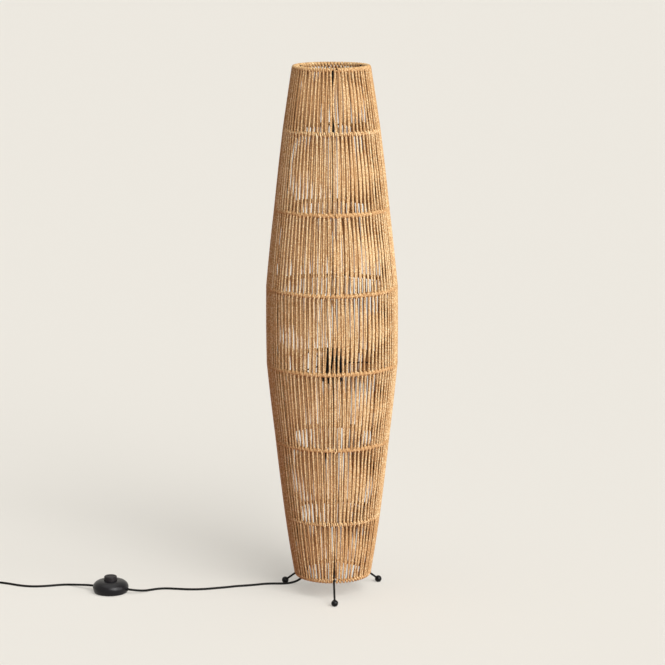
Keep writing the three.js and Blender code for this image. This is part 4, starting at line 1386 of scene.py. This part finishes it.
@dataclass
class FootSwitch:
    """The round foot switch on the cord.

    The collar's profile is given as (distance along the cord, wall), and the button's dish as (radius, depth).
    """

    centre: tuple[float, float, float] = (-485.5, -10.0, 0.0)
    turn: float = -20.0
    radius: float = 39.0
    foot_radius: float = 36.2
    foot_height: float = 1.5
    knee_radius: float = 37.4
    knee_height: float = 4.2
    waist_height: float = 12.0
    height: float = 27.5
    wall: float = 2.2
    hole: float = 14.5
    lip: float = 0.5
    fullness: float = 0.8
    dome_rows: int = 20
    axis_height: float = 10.5
    cord_radius: float = 2.5
    collar_gap: float = 0.15
    collar_sunk: float = 3.4
    collar_profile: tuple = ((0, 0.9), (1.0, 1.4), (2.6, 1.4), (3.4, 0.8), (4.6, 0.8), (5.4, 1.2), (6.0, 0.5))
    button_radius: float = 14.0
    button_top: float = 37.0
    button_wall: float = 3.0
    button_chamfer: float = 1.6
    dish: tuple = ((10.6, 0.1), (10.2, 0.55), (9.0, 0.6), (8.6, 0.3), (7.4, 0.35), (7.0, 0.8), (0, 1.0))
    flange_radius: float = 16.6
    flange_top: float = 25.0
    flange_thickness: float = 2.0
    spring_radius: float = 7.5
    spring_wire: float = 1.2
    spring_turns: int = 5
    spring_steps: int = 24
    spring_sides: int = 10
    spring_low: float = 13.6
    spring_high: float = 33.7
    travel: float = 4.5

    def placed(self, surface: Surface) -> Surface:
        """A surface made about the switch's own axis, put in its place."""
        return surface.moved(self.turn, self.centre)

    def outline(self, inset: float) -> np.ndarray:
        """The cover's outline from its foot to its hole.

        Above the waist it is hole + reach * cos(a) ** fullness, waist + rise * sin(a), for a from 0 to a quarter.

        Args:
            inset: How far it is moved in.

        Returns:
            The outline as (radius, height).
        """
        angle = np.linspace(0, math.pi / 2, self.dome_rows)
        reach, rise = self.radius - self.hole - inset, self.height - self.waist_height - inset
        radius = self.hole + reach * np.cos(angle) ** self.fullness
        dome = np.stack([radius, self.waist_height + rise * np.sin(angle)], 1)
        dome[-1, 0] = self.hole
        foot = [[self.foot_radius - inset, self.foot_height], [self.knee_radius - inset, self.knee_height]]
        return np.vstack([foot, dome])

    def cover(self) -> Surface:
        """The domed cover: the outline and its inset copy, turned, with a rounded lip at the hole.

        Returns:
            The cover.
        """
        outer, inner = self.outline(0), self.outline(self.wall)[::-1]
        lip = [[self.hole + self.lip, self.height], [self.hole, self.height - self.lip]]
        return turned(np.vstack([outer[:-1], lip, inner]), 96)

    def collar(self, side: int) -> Surface:
        """A short moulded sleeve where the cord enters, with a waist between its lips.

        Args:
            side: 1 or -1, for the end of the switch's axis.

        Returns:
            The collar.
        """
        inner, (along, wall) = self.cord_radius + self.collar_gap, np.array(self.collar_profile).T
        outline = np.vstack([np.stack([inner + wall, along], 1), [[inner, along[-1]], [inner, 0]]])
        made = turned(outline, 32).laid()
        made.points = (made.points + [self.radius - self.collar_sunk, 0, self.axis_height]) * [side, 1, 1]
        return made

    def button(self) -> Surface:
        """The button: a hollow cap with a flange below the cover and a shallow dish with grip steps on top.

        Returns:
            The button.
        """
        edge, top, flange, chamfer = self.button_radius, self.button_top, self.flange_top, self.button_chamfer
        below, inner, roof = flange - self.flange_thickness, edge - self.button_wall, top - self.button_wall
        corners = [(inner, below), (self.flange_radius, below), (self.flange_radius, flange), (edge, flange)]
        corners += [(edge, top - chamfer), (edge - chamfer, top)]
        corners += [(radius, top - depth) for radius, depth in self.dish]
        return turned(eased(corners + [(0, roof), (inner, roof)], 0.5), 72)

    def spring(self) -> Surface:
        """The button's return spring at rest: a helix whose height is the share of its turns that are done.

        Returns:
            The spring.
        """
        share = np.linspace(0, 1, self.spring_turns * self.spring_steps + 1)
        angle = 2 * math.pi * self.spring_turns * share
        climb = self.spring_high - self.spring_low - self.spring_wire
        height = self.spring_low + self.spring_wire / 2 + climb * share
        path = np.stack([self.spring_radius * np.cos(angle), self.spring_radius * np.sin(angle), height], 1)
        return tube(path, self.spring_wire / 2, self.spring_sides, UP)

    def build(self) -> list[bpy.types.Object]:
        """Makes the switch and dresses what stays in view of its inside.

        The spring gets a mesh of its own.

        Returns:
            The switch's pieces that lie on the cord.
        """
        made = [
            piece("switch_dome", self.placed(self.cover()), SWITCH_BLACK, Slot.SWITCH, ("switch_cover",), crease=50),
            piece("switch_collar_right", self.placed(self.collar(1)), SWITCH_BLACK, Slot.SWITCH, ()),
            piece("switch_collar_left", self.placed(self.collar(-1)), SWITCH_BLACK, Slot.SWITCH, ()),
        ]
        piece("button_cap", self.placed(self.button()), BUTTON_BLACK, Slot.BUTTON, ("switch_button",), BUTTON)
        wire = self.placed(self.spring())
        spring = piece("return_spring", wire, NICKEL, Slot.PLATED, ("switch_spring",), crease=TUBE_CREASE)
        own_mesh(spring)
        made.append(spring)
        made += dress(SWITCH_BLACK, "switch_base", "cord_clamp_right", "cord_clamp_left")
        made += dress(CERAMIC, "switch_block")
        made += dress(PAD_FOAM, "switch_pad")
        made += dress(NICKEL, "switch_screw_1", "switch_screw_2", "switch_screw_3")
        return made


@dataclass
class MainsPlug:
    """The flat two-pole plug at the far end of the cord, which points towards -X.

    The body's widths and heights are those of its sections at the stations, and it has a row of points more at the
    start of the easing of its face.
    """

    rear: tuple[float, float, float] = (-826.3, 61.5, 6.85)
    relief_length: float = 25.0
    relief_radii: tuple[float, float] = (3.3, 5.0)
    relief_lips: float = 1.5
    grooves: int = 6
    groove_depth: float = 0.7
    body_start: float = 25.3
    body_length: float = 35.0
    stations: tuple[float, ...] = (0.0, 3.0, 9.0, 16.0, 22.0, 27.0, 31.0, 34.4, 35.0)
    widths: tuple[float, ...] = (11.0, 15.5, 24.5, 26.6, 28.6, 33.8, 35.3, 35.3, 34.3)
    heights: tuple[float, ...] = (8.8, 10.4, 13.2, 13.7, 13.7, 13.7, 13.7, 13.7, 12.7)
    face_row: float = 34.8
    body_rows: int = 40
    body_sides: int = 48
    squareness: float = 0.5
    pin_gap: float = 0.3
    pin_spacing: float = 18.6
    pin_diameter: float = 4.0
    pin_length: float = 19.0
    pin_sleeve: float = 10.0

    def placed(self, surface: Surface) -> Surface:
        """A surface made about the plug's axis, along +X from the cord's end, put in its place."""
        return surface.moved(180, self.rear)

    def relief(self) -> Surface:
        """The strain relief: a taper with grooves, deepest where the cosine of its ribs is lowest.

        Returns:
            The strain relief.
        """
        length, (thin, thick) = self.relief_length, self.relief_radii
        along = np.linspace(0, length, 61)
        edge = np.clip(np.minimum(along - self.relief_lips, length - self.relief_lips - along), 0, 1)
        wave = np.clip(-np.cos(2 * np.pi * (self.grooves + 1) * along / length), 0, 1)
        radius = thin + (thick - thin) * along / length - self.groove_depth * edge * wave
        return turned(np.vstack([[[0, 0]], np.stack([radius, along], 1), [[0, length]]]), 32).laid()

    def body(self) -> Surface:
        """The moulded body: rounded-box sections whose width follows a waisted grip.

        A section is (x, w * c(a), h * s(a)), where c and s are the cosine and sine raised to a power with their sign
        kept, and w and h are eased between stations.

        Returns:
            The body.
        """
        x = np.concatenate([np.linspace(0, self.stations[-2], self.body_rows), [self.face_row, self.body_length]])
        w, h = (np.interp(x, self.stations, sizes)[:, None] / 2 for sizes in (self.widths, self.heights))
        sides, last = self.body_sides, (len(x) - 1) * self.body_sides
        angle = np.linspace(0, 2 * np.pi, sides, endpoint=False)[None, :]
        across, up = (np.sign(wave) * np.abs(wave) ** self.squareness for wave in (np.cos(angle), np.sin(angle)))
        points = np.stack(np.broadcast_arrays(self.body_start + x[:, None], w * across, h * up), -1).reshape(-1, 3)
        return Surface(points, grid_quads(len(x), sides), [list(range(sides))[::-1], list(range(last, last + sides))])

    def pin(self, side: float, start: float, end: float, easing: float) -> Surface:
        """A round stretch of a pin.

        Args:
            side: 1 or -1, for the side of the plug's axis.
            start: Where it starts, from the pin's root.
            end: Where it ends.
            easing: The easing of its edges.

        Returns:
            The stretch.
        """
        root, radius = self.body_start + self.body_length + self.pin_gap, self.pin_diameter / 2
        corners = [(0, root + start), (radius, root + start), (radius, root + end), (0, root + end)]
        return turned(eased(corners, easing), 24).laid().moved(0, (0.0, side * self.pin_spacing / 2, 0.0))

    def build(self) -> list[bpy.types.Object]:
        """Makes the plug.

        Returns:
            Its pieces, which lie on the cord.
        """
        made = [
            piece("plug_boot", self.placed(self.relief()), PLUG_BLACK, Slot.PLUG, ("plug_relief",), crease=60),
            piece("plug_grip", self.placed(self.body()), PLUG_BLACK, Slot.PLUG, ("plug_body",), crease=50),
        ]
        for side, name in ((1.0, "left"), (-1.0, "right")):
            sleeve = self.placed(self.pin(side, 0, self.pin_sleeve, easing=0.2))
            made.append(piece(f"pin_sleeve_{name}", sleeve, PLUG_BLACK, Slot.PLUG, ()))
            tip = self.placed(self.pin(side, self.pin_sleeve, self.pin_length, easing=1.0))
            made.append(piece(f"pin_tip_{name}", tip, NICKEL, Slot.PLATED, (f"plug_pin_{name}",)))
        return made


@dataclass
class MainsCord:
    """The cord in two free lengths: lampholder to foot switch, and foot switch to plug with its stored coil."""

    switch: FootSwitch
    diameter: float = 5.0
    sides: int = 12
    lamp_steps: int = 6
    plug_steps: int = 4
    clamp_face: float = 19.6
    coil_centre: tuple[float, float] = (-788.0, 27.0)
    coil_radius: float = 34.5
    coil_pitch: float = 5.5
    layer_turns: float = 2.25
    back_turn: float = 0.5
    steps_per_turn: int = 24
    lead_in: float = 3.0
    plug_reach: float = 38.0
    plug_height: float = 6.85

    def on_axis(self, distance: float) -> list[float]:
        """A point on the switch's cord axis.

        Args:
            distance: Its distance from the middle of the switch.

        Returns:
            The point.
        """
        angle = math.radians(self.switch.turn)
        x, y, _ = self.switch.centre
        return [x + distance * math.cos(angle), y + distance * math.sin(angle), self.switch.axis_height]

    def in_switch(self, side: int) -> list[list[float]]:
        """The points of the cord from the edge of the switch, on a side of 1 or -1, to its clamp."""
        return [self.on_axis(side * r) for r in (self.switch.radius, self.clamp_face + self.diameter, self.clamp_face)]

    def lamp_points(self) -> np.ndarray:
        """The route from the cord grip down inside the shade and over the floor to the switch.

        Returns:
            The points that it passes.
        """
        route = [
            [0, 0, 447.7], [-0.2, 0.2, 442], [-1.5, 1.4, 430], [-4.6, 4.1, 410], [-8.6, 7.8, 380], [-12.8, 11.6, 335],
            [-17, 15.3, 285], [-21.8, 19.6, 230], [-27.4, 24.6, 180], [-34, 30.4, 140], [-42, 37.3, 103],
            [-48.6, 42.6, 76], [-52.3, 45.6, 57], [-54.4, 47.6, 43], [-57.4, 50.4, 31], [-62.4, 53.6, 20],
            [-69.6, 55.4, 11.4], [-79, 53.4, 5.6], [-90.5, 48.6, 3], [-104, 43.8, 2.5], [-120, 42.6, 2.5],
            [-137, 42.4, 2.5], [-152, 40, 2.5], [-170, 34, 2.5], [-190, 28.6, 2.5], [-212, 23.6, 2.5],
            [-234, 15.8, 2.5], [-256, 9.4, 2.5], [-278, 3.4, 2.5], [-300, 0.4, 2.5], [-322, 1.4, 2.5],
            [-346, 5.4, 2.5], [-366, 8, 2.5], [-384, 4.6, 2.6], [-397, -3, 3], [-408, -11.6, 4], [-418, -18.8, 5.8],
            [-428, -23.8, 7.9], [-437, -26.2, 9.6],
        ]
        return np.array(route + self.in_switch(1))

    def plug_points(self) -> np.ndarray:
        """The route from the switch over the floor, through the coil and up to the plug.

        Returns:
            The points that it passes.
        """
        run = [
            [-536, 9.4, 10], [-547, 16.2, 8.4], [-558, 24.6, 6.2], [-569, 32.2, 4.2], [-580.5, 37, 2.9],
            [-593, 38, 2.5], [-606, 35.4, 2.5], [-620, 31.4, 2.5], [-634, 28, 2.5], [-648, 26, 2.5],
            [-662, 26, 2.5], [-676, 28.4, 2.5], [-690, 33.4, 2.5], [-704, 40.4, 2.5], [-718, 47.8, 2.5],
            [-733, 54.4, 2.5], [-748, 58.8, 2.5], [-762, 60.9, 2.5], [-774, 61.5, 2.5], [-782, 61.5, 2.5],
        ]
        x, y = self.coil_centre
        side, low, end = y + self.coil_radius, self.diameter / 2, x - self.plug_reach
        rise = [x - self.plug_reach / 3, side, low + self.coil_pitch]
        tail = [rise, [end + self.diameter, side, self.plug_height], [end, side, self.plug_height]]
        return np.vstack([self.in_switch(-1)[::-1], run, [[x + self.lead_in, side, low]], self.coil(), tail])

    def coil(self) -> np.ndarray:
        """The coil's middle line.

        The radius is the outer one less a pitch for each turn from the nearer end of the coil. The height climbs
        by one pitch, on a smooth step, in the half turn where the spiral turns back.

        Returns:
            The points along it.
        """
        total = 2 * self.layer_turns + self.back_turn
        turns = np.linspace(0, total, round(total * self.steps_per_turn) + 1)
        radius = self.coil_radius - self.coil_pitch * (total / 2 - np.abs(turns - total / 2))
        t = np.clip((turns - self.layer_turns) / self.back_turn, 0, 1)
        height = self.diameter / 2 + self.coil_pitch * t * t * (3 - 2 * t)
        angle = 2 * math.pi * (turns + 0.25)
        x, y = self.coil_centre
        return np.stack([x + radius * np.cos(angle), y + radius * np.sin(angle), height], 1)

    def sheath(self, path: np.ndarray, across: np.ndarray) -> Surface:
        """The cord's tube along a path."""
        return tube(path, self.diameter / 2, self.sides, across)

    def build(self, on_switch: list[bpy.types.Object], on_plug: list[bpy.types.Object]) -> None:
        """Makes both lengths and logs how long they are.

        Args:
            on_switch: The switch's pieces; not used.
            on_plug: The plug's pieces; not used.
        """
        lamp_path = smooth_path(self.lamp_points(), self.lamp_steps)
        lamp_cord = piece("lamp_cord", self.sheath(lamp_path, TO_BACK), CABLE, Slot.CABLE, ("cord_lamp_run",),
                          crease=TUBE_CREASE)
        plug_path = smooth_path(self.plug_points(), self.plug_steps)
        plug_cord = piece("plug_cord", self.sheath(plug_path, UP), CABLE, Slot.CABLE, ("cord_plug_run", "cord_coil"),
                          crease=TUBE_CREASE)
        LOG.info("cord lengths: %.3f m and %.3f m", path_length(lamp_path) * MM, path_length(plug_path) * MM)


@dataclass(frozen=True)
class Sun:
    """A far lamp: its azimuth and elevation in degrees, strength, and width in degrees."""

    name: str
    azimuth: float
    elevation: float
    strength: float
    width: float

    def build(self) -> None:
        """Adds the lamp."""
        lamp = bpy.data.lights.new(self.name, "SUN")
        lamp.energy, lamp.angle = self.strength, math.radians(self.width)
        azimuth, elevation = math.radians(self.azimuth), math.radians(self.elevation)
        flat = math.cos(elevation)
        towards = Vector((flat * math.sin(azimuth), -flat * math.cos(azimuth), math.sin(elevation)))
        add_to_scene(self.name, lamp).rotation_euler = towards.to_track_quat("Z", "Y").to_euler()


@dataclass
class Studio:
    """The camera, the pale floor and the lamps. Half the floor's width and the view's depth are in metres."""

    place: tuple[float, float, float] = (0.883, -5187.67, 1585.52)
    lens: float = 133.24
    sensor: float = 36.0
    depth: float = 200.0
    pitch: float = 11.0199
    roll: float = -0.14476
    floor_half: float = 60.0
    floor_colour: tuple = srgb(237, 233, 224)
    lit_colour: tuple = (0.615, 0.589, 0.541, 1.0)
    bounce_colour: tuple = (0.48, 0.26, 0.22, 1.0)
    plain_strength: float = 1.42
    plain_share: float = 0.3
    fill_colour: tuple = (1.0, 0.85, 0.75, 1.0)
    fill: float = 0.02
    suns: tuple[Sun, ...] = (
        Sun("key", 27, 36, 2.6, 40),
        Sun("side", 54, 22, 2.5, 60),
        Sun("top", 0, 88, 1.0, 60),
    )

    def camera(self) -> None:
        """Places the camera: level and facing +Y, then pitched down, then rolled about its own line of sight."""
        lens = bpy.data.cameras.new("studio_camera")
        lens.lens, lens.sensor_width, lens.sensor_fit, lens.clip_end = self.lens, self.sensor, "HORIZONTAL", self.depth
        made = add_to_scene("studio_camera", lens)
        made.matrix_world = (
            Matrix.Translation(Vector(self.place) * MM)
            @ Matrix.Rotation(math.radians(90 - self.pitch), 4, "X")
            @ Matrix.Rotation(math.radians(self.roll), 4, "Z")
        )
        bpy.context.scene.camera = made

    def by_ray(self, graph: Graph, rest: bpy.types.NodeSocket, seen: bpy.types.NodeSocket) -> bpy.types.NodeSocket:
        """Mixes two shaders by the kind of ray.

        Args:
            graph: The graph that both are in.
            rest: What rays get that carry light between surfaces.
            seen: What rays of the camera, mirrors and glass get.

        Returns:
            The mixed shader.
        """
        path = graph.node("ShaderNodeLightPath")
        names = ("Is Camera Ray", "Is Glossy Ray", "Is Transmission Ray")
        camera, mirror, glass = (Value(graph, path.outputs[name]) for name in names)
        return graph.shader("ShaderNodeMixShader", {0: camera.larger(mirror).larger(glass), 1: rest, 2: seen})

    def world(self) -> None:
        """An even fill light behind a plain pale surround."""
        world = bpy.data.worlds.new("studio_world")
        world.use_nodes = True
        graph = Graph(world.node_tree)
        fill = graph.shader("ShaderNodeBackground", {"Color": self.fill_colour, "Strength": self.fill})
        plain = graph.shader("ShaderNodeBackground", {"Color": self.floor_colour, "Strength": 1.0})
        graph.node("ShaderNodeOutputWorld", None, {"Surface": self.by_ray(graph, fill, plain)})
        bpy.context.scene.world = world

    def floor(self) -> None:
        """A wide floor that shows its plain colour in part, takes shadow for the rest and throws back a warm light."""
        paint = bpy.data.materials.new("floor_paint")
        paint.use_nodes = True
        graph = Graph(paint.node_tree)
        lit = graph.shader("ShaderNodeBsdfDiffuse", {"Color": self.lit_colour})
        plain = graph.shader("ShaderNodeEmission", {"Color": self.floor_colour, "Strength": self.plain_strength})
        shown = graph.shader("ShaderNodeMixShader", {0: self.plain_share, 1: lit, 2: plain})
        thrown = graph.shader("ShaderNodeBsdfDiffuse", {"Color": self.bounce_colour})
        graph.node("ShaderNodeOutputMaterial", None, {"Surface": self.by_ray(graph, thrown, shown)})
        mesh, half = bpy.data.meshes.new("studio_floor"), self.floor_half
        mesh.from_pydata([(-half, -half, 0), (half, -half, 0), (half, half, 0), (-half, half, 0)], [], [(0, 1, 2, 3)])
        mesh.materials.append(paint)
        add_to_scene("studio_floor", mesh)

    def build(self) -> None:
        """Sets up the studio."""
        bpy.context.scene.view_settings.view_transform = "Standard"
        self.camera()
        self.world()
        self.floor()
        for sun in self.suns:
            sun.build()


def main() -> None:
    """Builds the studio, the cord with its switch and plug, and the lamp."""
    logging.basicConfig(level=logging.INFO, format="%(name)s %(message)s")
    Studio().build()
    switch = FootSwitch()
    MainsCord(switch).build(switch.build(), MainsPlug().build())
    sizes = FrameSizes()
    ShadeFrame(sizes).build()
    CordWinding(sizes).build()
    Lampholder(sizes).build()


if __name__ == "__main__":
    main()
